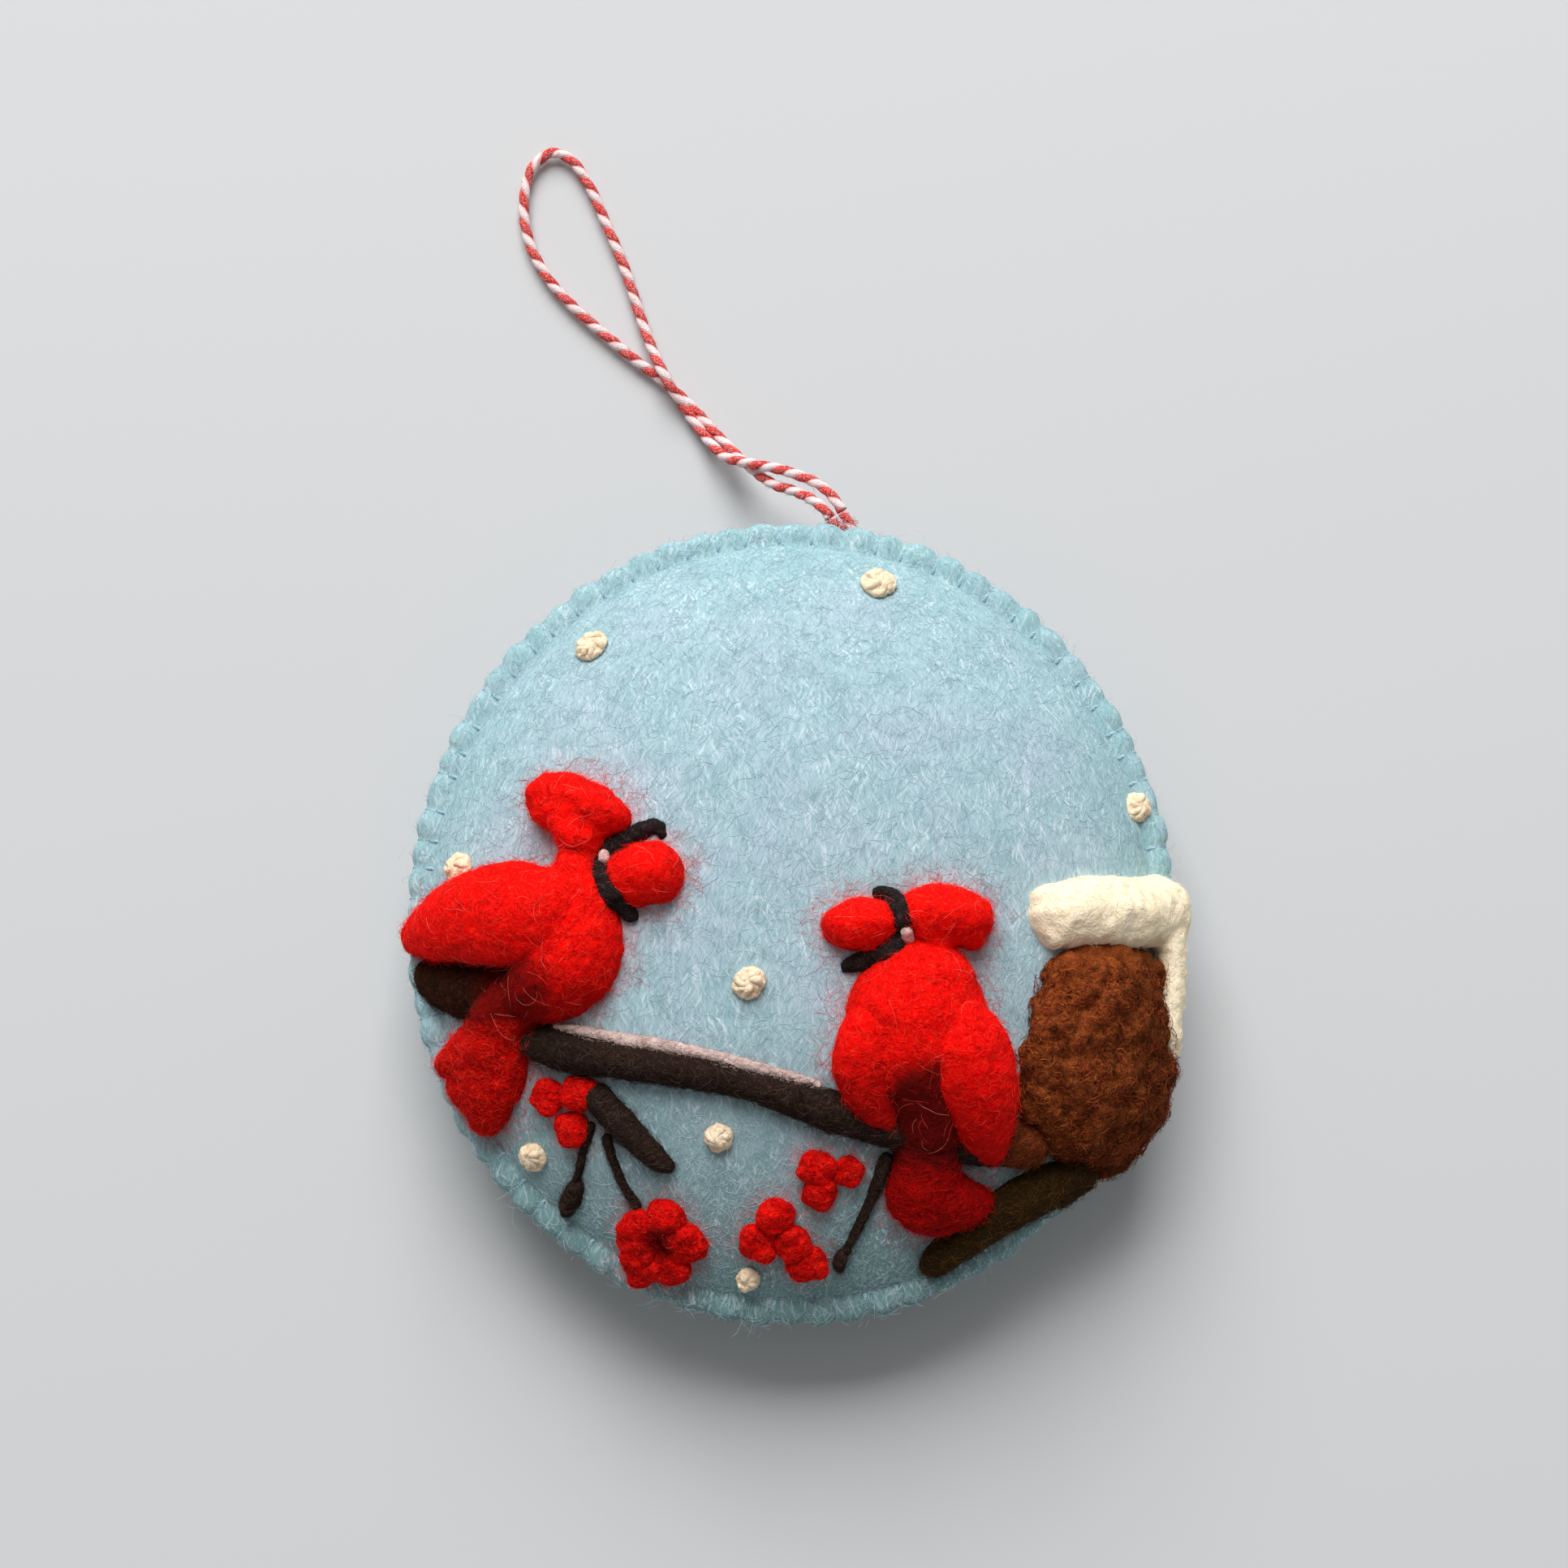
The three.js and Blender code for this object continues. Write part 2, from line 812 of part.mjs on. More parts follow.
// One thread all round the edge: a run in the crease and a stitch over the edge at each hole
function stitchThread() {
  const valley = (angle) => rimRadius(angle) - scallopDepth / 2 + clearance;
  const angles = Array.from(
    { length: stitchCount - 1 },
    (_, k) => exitAngle + ((k + 1) * 2 * Math.PI) / stitchCount,
  );
  const polar = (angle, radius, height) =>
    new THREE.Vector3(radius * Math.cos(angle), radius * Math.sin(angle), seamHeight + height);
  const runSections = angles.map((angle) => {
    const inside = valley(angle) + (threadThickness - runThickness) / 2;
    const half = runThickness / 2;
    return [
      polar(angle, inside, -half),
      polar(angle, inside + runThickness, -half),
      polar(angle, inside + runThickness, half),
      polar(angle, inside, half),
    ];
  });
  const middle = (angle) => polar(angle, valley(angle) + threadThickness / 2, 0);
  const run = loft(runSections, middle(angles[0]), middle(angles[angles.length - 1]));
  const stitches = angles.map((angle) => {
    const inner = rimRadius(angle) - stitchBand + clearance;
    const outer = valley(angle);
    const level = faceStep + clearance;
    const outline = [
      [inner, level],
      [outer, level],
      [outer, -level],
      [inner, -level],
      [inner, -level - threadThickness],
      [outer + threadThickness, -level - threadThickness],
      [outer + threadThickness, level + threadThickness],
      [inner, level + threadThickness],
    ];
    const shape = new THREE.Shape(outline.map(([x, y]) => new THREE.Vector2(x, y)));
    const geometry = new THREE.ExtrudeGeometry(shape, {
      depth: threadThickness,
      bevelEnabled: false,
    });
    geometry.translate(0, 0, -threadThickness / 2);
    geometry.rotateX(Math.PI / 2);
    geometry.rotateZ(angle);
    geometry.translate(0, 0, seamHeight);
    return solidOf(geometry);
  });
  return wasm.Manifold.union([run, ...stitches]);
}

// Colours of the wools, felts and threads
const colours = {
  felt: 0xafd2da,
  fibre: 0xf2f0ea,
  thread: 0xb9d8dc,
  twine: 0xd8443c,
  red: 0xe0190f,
  deepRed: 0xa81410,
  darkFeather: 0x35110c,
  trunk: 0x6e3214,
  cream: 0xf5e1c3,
  branch: 0x372828,
  frost: 0xc8b4b4,
  mask: 0x2d2326,
  eye: 0xd9a9a4,
  frenchKnot: 0xf0d7b4,
};
const feltRoughness = 0.95;
const twineRoughness = 0.8;

const ornament = new THREE.Group();

function add(name, solid, color, roughness = feltRoughness) {
  ornament.add(meshOf(name, solid, finish(color, roughness)));
}

function addForms(forms, colourOf) {
  Object.entries(forms).forEach(([name, form]) => {
    add(name, seat((grow) => woolForm(form, grow)), colourOf(name));
  });
}

const channel = anchorKnot(clearance);
const front = feltPanel(1, frontCrown, frontRingShares, frontRingCounts, 0, 0);
const back = feltPanel(-1, backCrown, backRingShares, backRingCounts, 0, feltThickness);
add("front_felt_panel", front.subtract(channel), colours.felt);
add("back_felt_panel", back.subtract(channel), colours.felt);
add("fibre_stuffing", stuffingLens().subtract(channel), colours.fibre);
add("rim_stitch_thread", stitchThread(), colours.thread);
add("loop_anchor_knot", anchorKnot(0), colours.twine, twineRoughness);

const snow = (grow) =>
  woolForm(trunkForms.snow_cap, grow).add(woolForm(trunkForms.snow_strip, grow));
add("trunk_snow", seat(snow), colours.cream);
addForms({ trunk_wool: trunkForms.trunk_wool }, () => colours.trunk);
addForms(branchForms, () => colours.branch);
addForms(leftBirdForms, (name) =>
  name.endsWith("feathers") ? colours.darkFeather : colours.red,
);
addForms(rightBirdForms, (name) => (name.endsWith("tail") ? colours.deepRed : colours.red));
Object.entries(maskBands).forEach(([name, spineShares]) => {
  add(name, drape({ spineShares }, maskThickness, 0), colours.mask);
});
Object.entries(eyeBands).forEach(([name, spineShares]) => {
  const lift = maskThickness + clearance;
  add(name, drape({ spineShares, steps: 4 }, eyeThickness, lift), colours.eye);
});
add(
  "branch_snow",
  drape({ spineShares: branchSnowShares, steps: 10 }, branchSnowThickness, 0),
  colours.frost,
);
addForms(twigForms, () => colours.branch);
Object.entries(budShares).forEach(([name, placeShare]) => {
  const bud = (grow) => roundForm({ placeShare, rise: budRise }, grow);
  add(name, seat(bud), colours.branch);
});
berryShares.forEach((placeShare, k) => {
  const berry = (grow) => roundForm({ placeShare, rise: berryRise }, grow);
  add(`berry_${k + 1}`, seat(berry), colours.red);
});
frenchKnotShares.forEach((placeShare, k) => {
  const knot = (grow) =>
    roundForm({ placeShare, rise: frenchKnotRise, squashShare: 0.9 }, grow);
  add(`snow_knot_${k + 1}`, seat(knot), colours.frenchKnot);
});

// The frame's origin is under the middle of the ornament, on the plane that it rests on
const extent = new THREE.Box3().setFromObject(ornament);
const middle = extent.getCenter(new THREE.Vector3());

const twinePath = new THREE.CatmullRomCurve3(
  twineRoute.map(([x, y, z]) => new THREE.Vector3(x, y, z)),
);
const twine = new THREE.Mesh(
  tubeAlong(twinePath, twineThickness / 2, twineSides, twineSteps),
  finish(colours.twine, twineRoughness),
);
twine.name = "hanging_loop_twine";
ornament.add(twine);
ornament.position.set(-middle.x, -middle.y, -extent.min.z);

export default ornament;
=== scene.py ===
"""A stuffed round felt ornament with wool birds on a snowy branch, dressed round its solids.

Shapes are worked out in millimetres in the row frame and turned into metres when they are made
objects. The ornament lies on its back, its face points along +Z and its loop along +Y.
"""

import logging
import math
import random
from bisect import bisect_left
from collections.abc import Callable
from dataclasses import dataclass, replace
from enum import Enum
from itertools import accumulate

import bmesh
import bpy
from mathutils import Matrix, Quaternion, Vector, noise
from mathutils.bvhtree import BVHTree


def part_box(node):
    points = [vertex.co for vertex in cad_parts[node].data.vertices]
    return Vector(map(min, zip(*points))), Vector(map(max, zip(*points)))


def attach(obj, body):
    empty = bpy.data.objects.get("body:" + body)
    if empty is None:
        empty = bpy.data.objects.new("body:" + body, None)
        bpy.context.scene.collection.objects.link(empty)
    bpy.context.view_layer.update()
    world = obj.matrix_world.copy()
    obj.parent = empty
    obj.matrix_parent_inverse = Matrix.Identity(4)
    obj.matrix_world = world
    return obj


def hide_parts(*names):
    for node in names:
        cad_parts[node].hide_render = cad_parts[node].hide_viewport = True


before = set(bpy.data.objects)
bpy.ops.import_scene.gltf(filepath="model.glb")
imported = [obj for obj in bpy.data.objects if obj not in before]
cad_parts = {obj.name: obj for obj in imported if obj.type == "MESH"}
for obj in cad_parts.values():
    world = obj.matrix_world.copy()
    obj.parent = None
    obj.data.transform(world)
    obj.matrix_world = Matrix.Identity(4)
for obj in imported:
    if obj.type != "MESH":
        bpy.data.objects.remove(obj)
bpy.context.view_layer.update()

MM = 0.001
SKY = 60.0
DISC_BODY = "ornament"
LOOP_BODY = "hanging_loop"

logging.basicConfig(level=logging.INFO, format="%(message)s")
log = logging.getLogger("ornament")

Colour = tuple[float, float, float, float]
Turn = tuple[float, float, float]
Lumps = tuple[tuple[float, float], ...]
Piece = bpy.types.Object
Shape = bmesh.types.BMesh


def srgb(red: int, green: int, blue: int) -> Colour:
    """Turns a colour as a painter picks it into linear light.

    Args:
        red: from 0 to 255.
        green: from 0 to 255.
        blue: from 0 to 255.

    Returns:
        The linear colour with an alpha of 1.
    """

    def linear(part: int) -> float:
        """One channel in linear light."""
        share = part / 255
        return share / 12.92 if share <= 0.04045 else ((share + 0.055) / 1.055) ** 2.4

    return linear(red), linear(green), linear(blue), 1.0


class Wire:
    """A socket of one material's nodes, with arithmetic that adds the nodes it needs."""

    def __init__(self, board: "Board", socket: bpy.types.NodeSocket) -> None:
        """Keeps the board and the socket."""
        self.board = board
        self.socket = socket

    def _math(self, operation: str, first: "Wire | float", second: "Wire | float") -> "Wire":
        """A Math node on two values."""
        return self.board.add("ShaderNodeMath", {"operation": operation}, {0: first, 1: second})

    def __add__(self, other: "Wire | float") -> "Wire":
        """self + other."""
        return self._math("ADD", self, other)

    def __sub__(self, other: "Wire | float") -> "Wire":
        """self - other."""
        return self._math("SUBTRACT", self, other)

    def __rsub__(self, other: float) -> "Wire":
        """other - self."""
        return self._math("SUBTRACT", other, self)

    def __mul__(self, other: "Wire | float") -> "Wire":
        """self * other."""
        return self._math("MULTIPLY", self, other)

    def larger(self, other: "Wire | float") -> "Wire":
        """The larger of two values."""
        return self._math("MAXIMUM", self, other)

    def smaller(self, other: "Wire | float") -> "Wire":
        """The smaller of two values."""
        return self._math("MINIMUM", self, other)

    def sine(self) -> "Wire":
        """The sine of the value."""
        return self._math("SINE", self, 0.0)

    def step(self, low: float, high: float) -> "Wire":
        """A smooth step that is 0 at low and 1 at high."""
        return self.board.add(
            "ShaderNodeMapRange",
            {"interpolation_type": "SMOOTHSTEP"},
            {"Value": self, "From Min": low, "From Max": high},
        )


class Board:
    """The nodes of one material."""

    def __init__(self, name: str) -> None:
        """Makes an empty material."""
        self.material = bpy.data.materials.new(name)
        self.material.use_nodes = True
        self.tree = self.material.node_tree
        self.tree.nodes.clear()

    def add(
        self, kind: str, settings: dict | None = None, sockets: dict | None = None,
        output: int | str = 0,
    ) -> Wire | None:
        """Adds a node.

        Args:
            kind: the node's type.
            settings: its options, which are set first.
            sockets: values or wires by socket name or number.
            output: the output that the wire comes from.

        Returns:
            A wire from that output, or None for a node that has no output.
        """
        node = self.tree.nodes.new(kind)
        for name, value in (settings or {}).items():
            setattr(node, name, value)
        for name, value in (sockets or {}).items():
            if isinstance(value, Wire):
                self.tree.links.new(value.socket, node.inputs[name])
            else:
                node.inputs[name].default_value = value
        return Wire(self, node.outputs[output]) if node.outputs else None

    def place(self) -> Wire:
        """Object coordinates in millimetres."""
        return self.scaled(self.add("ShaderNodeTexCoord", output="Object"), 1 / MM)

    def vectors(
        self, operation: str, first: Wire, second: Wire | Turn, output: int | str = 0
    ) -> Wire:
        """A VectorMath node on two vectors."""
        return self.add(
            "ShaderNodeVectorMath", {"operation": operation}, {0: first, 1: second}, output
        )

    def scaled(self, vector: Wire, factor: float) -> Wire:
        """A vector times a number."""
        return self.add(
            "ShaderNodeVectorMath", {"operation": "SCALE"}, {0: vector, "Scale": factor}
        )

    def part(self, vector: Wire, axis: str) -> Wire:
        """One part of a vector, X, Y or Z."""
        return self.add("ShaderNodeSeparateXYZ", sockets={0: vector}, output=axis)

    def noise(self, vector: Wire, size: float, detail: float = 2.0, output: str = "Fac") -> Wire:
        """Noise whose blotches are about size millimetres across."""
        return self.add(
            "ShaderNodeTexNoise",
            sockets={"Vector": vector, "Scale": 1 / size, "Detail": detail},
            output=output,
        )

    def wander(self, vector: Wire, size: float, reach: float) -> Wire:
        """The vector, pushed about by up to half of reach in blotches of a size."""
        push = self.noise(vector, size, 1.0, "Color")
        centred = self.vectors("SUBTRACT", push, (0.5, 0.5, 0.5))
        return self.vectors("ADD", vector, self.scaled(centred, reach))

    def streaks(self, vector: Wire, turn: Turn, length: float, width: float) -> Wire:
        """Noise drawn out along one direction, as fibres lie."""
        drawn = self.add(
            "ShaderNodeMapping",
            {"vector_type": "TEXTURE"},
            {"Vector": vector, "Rotation": turn, "Scale": (length, width, width)},
        )
        return self.noise(drawn, 1.0, 1.0)

    def mix(self, share: "Wire | float", first: "Wire | Colour", second: "Wire | Colour") -> Wire:
        """A colour that goes from first to second."""
        return self.add(
            "ShaderNodeMix", {"data_type": "RGBA"}, {0: share, 6: first, 7: second}, output=2
        )

    def mark(self, name: str) -> Wire:
        """A mark that the mesh carries, from 0 to 1."""
        return self.add("ShaderNodeAttribute", {"attribute_name": name}, output="Fac")

    def away(self, vector: Wire, spot: Turn) -> Wire:
        """How far a vector is from a spot."""
        return self.vectors("DISTANCE", vector, spot, "Value")

    def bump(self, height: Wire, depth: float) -> Wire:
        """A normal for a relief of depth millimetres."""
        return self.add("ShaderNodeBump", sockets={"Height": height, "Distance": depth * MM})

    def cloth(
        self,
        colour: Wire,
        roughness: float,
        relief: Wire | None = None,
        sheen: float = 0.0,
        sheen_tint: Colour = (1.0, 1.0, 1.0, 1.0),
    ) -> bpy.types.Material:
        """Ends the material in one cloth shader.

        Args:
            colour: the base colour.
            roughness: the same all over.
            relief: the bumped normal, if any.
            sheen: how much light the loose fibres catch.
            sheen_tint: the sheen's colour.

        Returns:
            The finished material.
        """
        sockets = {
            "Base Color": colour,
            "Roughness": roughness,
            "Specular IOR Level": 0.08,
            "Sheen Weight": sheen,
            "Sheen Roughness": 0.5,
            "Sheen Tint": sheen_tint,
        }
        if relief is not None:
            sockets["Normal"] = relief
        shader = self.add("ShaderNodeBsdfPrincipled", sockets=sockets)
        self.add("ShaderNodeOutputMaterial", sockets={"Surface": shader})
        return self.material


class Finish:
    """A finish whose material is made once and then shared."""

    made: dict[str, bpy.types.Material] = {}

    def material(self) -> bpy.types.Material:
        """The finish's material."""
        if self.name not in Finish.made:
            Finish.made[self.name] = self.build(Board(self.name))
        return Finish.made[self.name]


FLAT_TURNS: tuple[Turn, ...] = ((0, 0, 1.15), (0, 0, 1.62), (0, 0, 2.1))
WOOL_TURNS: tuple[Turn, ...] = ((0.2, 0.3, 0.6), (0.5, -0.2, 1.8), (-0.4, 0.4, 2.7))


@dataclass(frozen=True)
class Fade:
    """A change of colour along an axis, from one place to another in millimetres, which most
    finishes use to paint light or shade.
    """

    axis: str
    start: float
    end: float
    colour: Colour
    share: float = 1.0


@dataclass(frozen=True)
class Hollow:
    """A place of painted shade in the wool, seen from the front: its middle, core and end in mm."""

    place: Turn
    core: float
    reach: float
    colour: Colour
    share: float = 0.85


@dataclass(frozen=True)
class WoolFinish(Finish):
    """Packed wool: a ground colour, deeper blotches, and pale and dark fibres over it, with fades,
    which mostly paint light or shade, and a hollow of painted shade.
    """

    name: str
    ground: Colour
    deep: Colour
    pale: Colour
    pale_share: float = 0.5
    deep_share: float = 0.7
    fibre_length: float = 1.7
    fibre_width: float = 0.24
    blotch: float = 1.9
    depth: float = 0.26
    sheen: float = 0.05
    fades: tuple[Fade, ...] = ()
    hollow: Hollow | None = None
    past = 0.6
    strong = 0.75

    def faded(self, place: Vector) -> bool:
        """Whether a place lies in the finish's hollow of painted shade or past the middle of one of
        its strong fades.
        """
        hollow = self.hollow
        if hollow is not None:
            away = (place.xy - Vector(hollow.place).xy).length
            if away < hollow.core * (1 - self.past) + hollow.reach * self.past:
                return True
        return any(
            (place["XYZ".index(fade.axis)] - fade.start) / (fade.end - fade.start) > 0.5
            for fade in self.fades
            if fade.share > self.strong
        )

    def build(self, board: Board) -> bpy.types.Material:
        """Adds the nodes."""
        place = board.place()
        wavy = board.wander(place, 1.6, 1.8)
        size = self.fibre_length, self.fibre_width
        layers = [board.streaks(wavy, turn, *size) for turn in WOOL_TURNS]
        raised = layers[0].larger(layers[1]).larger(layers[2])
        sunk = layers[0].smaller(layers[1]).smaller(layers[2])
        blotches = board.noise(place, self.blotch, 4.0).step(0.42, 0.66)
        pits = 1.0 - board.noise(place, self.blotch * 0.4).step(0.3, 0.46)
        shade = (1.0 - sunk.step(0.28, 0.44)) * 0.5 + blotches * 0.45 + pits * 0.4
        body = board.mix(shade.smaller(1.0) * self.deep_share, self.ground, self.deep)
        colour = board.mix(raised.step(0.58, 0.76) * self.pale_share, body, self.pale)
        ragged = board.wander(place, 2.0, 3.0)
        # Fades: painted light or shade on most finishes; the main branch's brown end is the wool's
        # own colour.
        for fade in self.fades:
            reach = board.part(ragged, fade.axis).step(fade.start, fade.end)
            colour = board.mix(reach * fade.share, colour, fade.colour)
        # The hollow: painted shade round a recess.
        if self.hollow is not None:
            level = board.vectors("MULTIPLY", ragged, (1, 1, 0))
            away = board.away(level, (*self.hollow.place[:2], 0.0))
            near = 1.0 - away.step(self.hollow.core, self.hollow.reach)
            colour = board.mix(near * self.hollow.share, colour, self.hollow.colour)
        height = raised + board.noise(place, 0.8, 3.0) - pits * 0.4
        return board.cloth(colour, 0.95, board.bump(height, self.depth), self.sheen, self.pale)


@dataclass(frozen=True)
class FeltFinish(Finish):
    """Dyed sheet felt: pale fibres every way over a ground that drifts in colour, with painted
    shade towards the bottom.
    """

    name: str
    ground: Colour
    cool: Colour
    deep: Colour
    pale: Colour
    tint: Colour
    shade: Colour
    radius: float
    veils: tuple[tuple[str, Colour, float], ...] = ()

    def build(self, board: Board) -> bpy.types.Material:
        """Adds the nodes."""
        place = board.place()
        wavy = board.wander(place, 4.4, 1.7)
        long_layers = [board.streaks(wavy, turn, 3.2, 0.34) for turn in FLAT_TURNS]
        fine = board.wander(place, 2.0, 0.7)
        turned = [(0, 0, turn[2] + 0.2) for turn in FLAT_TURNS[:2]]
        fine_layers = [board.streaks(fine, turn, 2.0, 0.2) for turn in turned]
        raised = long_layers[0].larger(long_layers[1]).larger(long_layers[2])
        hair = fine_layers[0].larger(fine_layers[1])
        sunk = long_layers[0].smaller(long_layers[1]).smaller(fine_layers[0])
        drift = board.noise(place, 11.0, 3.0).step(0.38, 0.66)
        cloud = board.noise(place, 2.2, 3.0).step(0.42, 0.7)
        across, up = board.part(place, "X"), board.part(place, "Y")
        edge = (across * across + up * up).step((self.radius * 0.62) ** 2, self.radius**2)
        tinted = board.mix(board.noise(place, 8.0, 3.0).step(0.38, 0.7), self.ground, self.tint)
        toned = board.mix((drift * 0.35 + edge * 0.65).smaller(1.0), tinted, self.cool)
        # Painted shade: the felt darkens towards the bottom of the disc.
        toned = board.mix(up.step(-8.0, -46.0) * 0.72, toned, self.shade)
        pits = ((1.0 - sunk.step(0.27, 0.4)) * 0.7 + cloud * 0.5).smaller(1.0)
        pitted = board.mix(pits * 0.62, toned, self.deep)
        tufted = board.noise(place, 3.4, 3.0).step(0.4, 0.68)
        haired = board.mix(hair.step(0.58, 0.76) * 0.35, pitted, self.pale)
        tips = raised.step(0.58, 0.76) * (tufted * 0.55 + 0.35)
        colour = board.mix(tips, haired, self.pale)
        patchy = board.noise(wavy, 1.1, 3.0).step(0.34, 0.66)
        for mark, veil, share in self.veils:
            near = board.mark(mark)
            colour = board.mix(near * near * patchy * share, colour, veil)
        height = raised + hair * 0.6 + board.noise(place, 1.4) * 0.7
        return board.cloth(colour, 0.95, board.bump(height, 0.11), 0.08, self.pale)


@dataclass(frozen=True)
class TwineFinish(Finish):
    """Twisted yarn: two plies of their own colours, with fibres along each ply."""

    name: str
    first: Colour
    second: Colour
    turns: float

    def build(self, board: Board) -> bpy.types.Material:
        """Adds the nodes, which read the yarn's own map: u round it and v along it."""
        chart = board.add("ShaderNodeUVMap", {"uv_map": "yarn"})
        spin = board.part(chart, "X") * math.tau
        twist = board.part(chart, "Y") * (math.tau * self.turns)
        phase = (spin - twist + math.pi / 2).sine()
        place = board.place()
        fuzzy = phase + (board.noise(place, 0.35) - 0.5) * 0.5
        stripe = fuzzy.step(-0.12, 0.12)
        fibre = board.noise(place, 0.16)
        first = board.mix(fibre.step(0.42, 0.66) * 0.35, self.first, self.second)
        second = board.mix(fibre.step(0.5, 0.74) * 0.25, self.second, self.first)
        groove = 1.0 - (phase * phase).step(0.0, 0.35)
        colour = board.mix(groove * 0.35, board.mix(stripe, first, second), self.first)
        height = fibre - groove * 0.6
        return board.cloth(colour, 0.9, board.bump(height, 0.12), 0.1)


@dataclass(frozen=True)
class FibreFinish(Finish):
    """Single loose fibres, which differ a little from one to the next."""

    name: str
    first: Colour
    second: Colour

    def build(self, board: Board) -> bpy.types.Material:
        """Adds the nodes."""
        share = board.noise(board.place(), 1.3).step(0.35, 0.65)
        return board.cloth(board.mix(share, self.first, self.second), 0.8)


@dataclass(frozen=True)
class FloorFinish(Finish):
    """A pale studio floor."""

    name: str
    colour: Colour
    other: Colour
    blotch: float = 60.0

    def build(self, board: Board) -> bpy.types.Material:
        """Adds the nodes."""
        share = board.noise(board.place(), self.blotch)
        soft = board.mix(share * 0.06, self.colour, self.other)
        return board.cloth(soft, 0.9)


# The felt's shade colour is painted shade for the lower part of the disc.
FELT = FeltFinish(
    "light_blue_felt", ground=srgb(164, 193, 201), cool=srgb(146, 188, 192),
    deep=srgb(116, 151, 160), pale=srgb(211, 226, 233), tint=srgb(172, 192, 204),
    shade=srgb(86, 122, 117), radius=45.0,
    veils=(("red_veil", srgb(212, 104, 112), 0.55), ("brown_veil", srgb(92, 96, 94), 0.7)),
)
RED = WoolFinish(
    "red_wool", srgb(253, 10, 5), srgb(182, 0, 2), srgb(255, 56, 38), pale_share=0.55,
    deep_share=0.5, blotch=2.6, depth=0.2,
)
# The right bird's tail: the red wool painted in shade, and darker still at its top, which is
# painted shade under the body.
RIGHT_TAIL_SHADED_RED = WoolFinish(
    "red_wool_right_tail_shaded", srgb(156, 6, 4), srgb(66, 2, 2), srgb(204, 30, 20), pale_share=0.4,
    fades=(Fade("Y", -30.6, -26.4, srgb(62, 8, 5), 0.88),),
)
# The left bird's tail: a darker red, partly the wool's own colour and partly painted shade, with
# painted shade at its top under the body.
TAIL_RED = replace(
    RED, name="red_wool_tail", ground=srgb(190, 8, 4), deep=srgb(100, 0, 2),
    fades=(Fade("Y", -15.6, -11.2, srgb(92, 4, 3), 0.85),),
)
BERRY_RED = WoolFinish(
    "berry_red_wool", srgb(222, 6, 4), srgb(96, 0, 2), srgb(252, 52, 36), pale_share=0.5,
    fibre_length=1.2, blotch=1.2,
)
# The left bird's body: painted shade towards its bottom, and a hollow of painted shade under the
# wing.
LEFT_BODY_RED = replace(
    RED, name="red_wool_left_body", fades=(Fade("Y", -5.5, -12.0, srgb(150, 6, 4), 0.5),),
    hollow=Hollow((-30.4, -10.0, 0.0), 2.6, 6.4, srgb(112, 4, 3), 0.85),
)
# The right bird's body: a hollow of painted shade in the recess between the wings.
RIGHT_BODY_RED = replace(
    RED, name="red_wool_right_body",
    hollow=Hollow((14.9, -23.4, 0.0), 3.4, 7.6, srgb(62, 8, 5), 0.92),
)
# The right bird's wings: painted shade on their lower parts.
NEAR_WING_RED = replace(
    RED, name="red_wool_near_wing", fades=(Fade("Y", -17.0, -27.0, srgb(146, 6, 4), 0.5),)
)
FAR_WING_RED = replace(
    RED, name="red_wool_far_wing", fades=(Fade("Y", -14.5, -22.0, srgb(138, 6, 4), 0.7),)
)
# The dark feathers turn red towards the right, as the wool does; that red is painted darker as
# shade under the wing.
DARK_FEATHER = WoolFinish(
    "dark_feather_wool", srgb(46, 24, 12), srgb(18, 10, 4), srgb(112, 52, 32), pale_share=0.6,
    fibre_length=2.4, fades=(Fade("X", -36.5, -31.5, srgb(104, 6, 4), 0.85),),
)
# The trunk: painted light on its upper part, and painted shade on its right side and its bottom.
TRUNK = WoolFinish(
    "trunk_brown_wool", srgb(136, 66, 28), srgb(54, 26, 9), srgb(190, 106, 54), pale_share=0.6,
    deep_share=0.9, fibre_length=1.6, blotch=3.2, depth=0.3,
    fades=(
        Fade("Y", -19.0, -9.0, srgb(150, 72, 30), 0.4),
        Fade("X", 35.0, 41.0, srgb(66, 42, 14), 0.45),
        Fade("Y", -24.0, -30.0, srgb(60, 36, 12), 0.5),
    ),
)
CREAM = WoolFinish(
    "cream_wool", srgb(255, 240, 208), srgb(250, 228, 194), srgb(255, 248, 228), pale_share=0.3,
    deep_share=0.45, blotch=3.0, depth=0.12,
)
BRANCH = WoolFinish(
    "branch_brown_wool", srgb(44, 30, 24), srgb(22, 14, 10), srgb(92, 68, 58), pale_share=0.4,
    fibre_length=3.0,
)
MAIN_BRANCH = replace(
    BRANCH, name="main_branch_brown", fades=(Fade("X", 22.0, 25.0, srgb(112, 53, 24), 0.9),)
)
LOWER_BRANCH = replace(
    BRANCH, name="lower_branch_wool", ground=srgb(54, 36, 14), deep=srgb(24, 16, 6),
    pale=srgb(98, 68, 34),
)
FROST = WoolFinish("frost_wool", srgb(206, 180, 172), srgb(140, 112, 106), srgb(238, 220, 212))
MASK = WoolFinish("mask_black_wool", srgb(38, 30, 30), srgb(16, 12, 12), srgb(80, 66, 62))
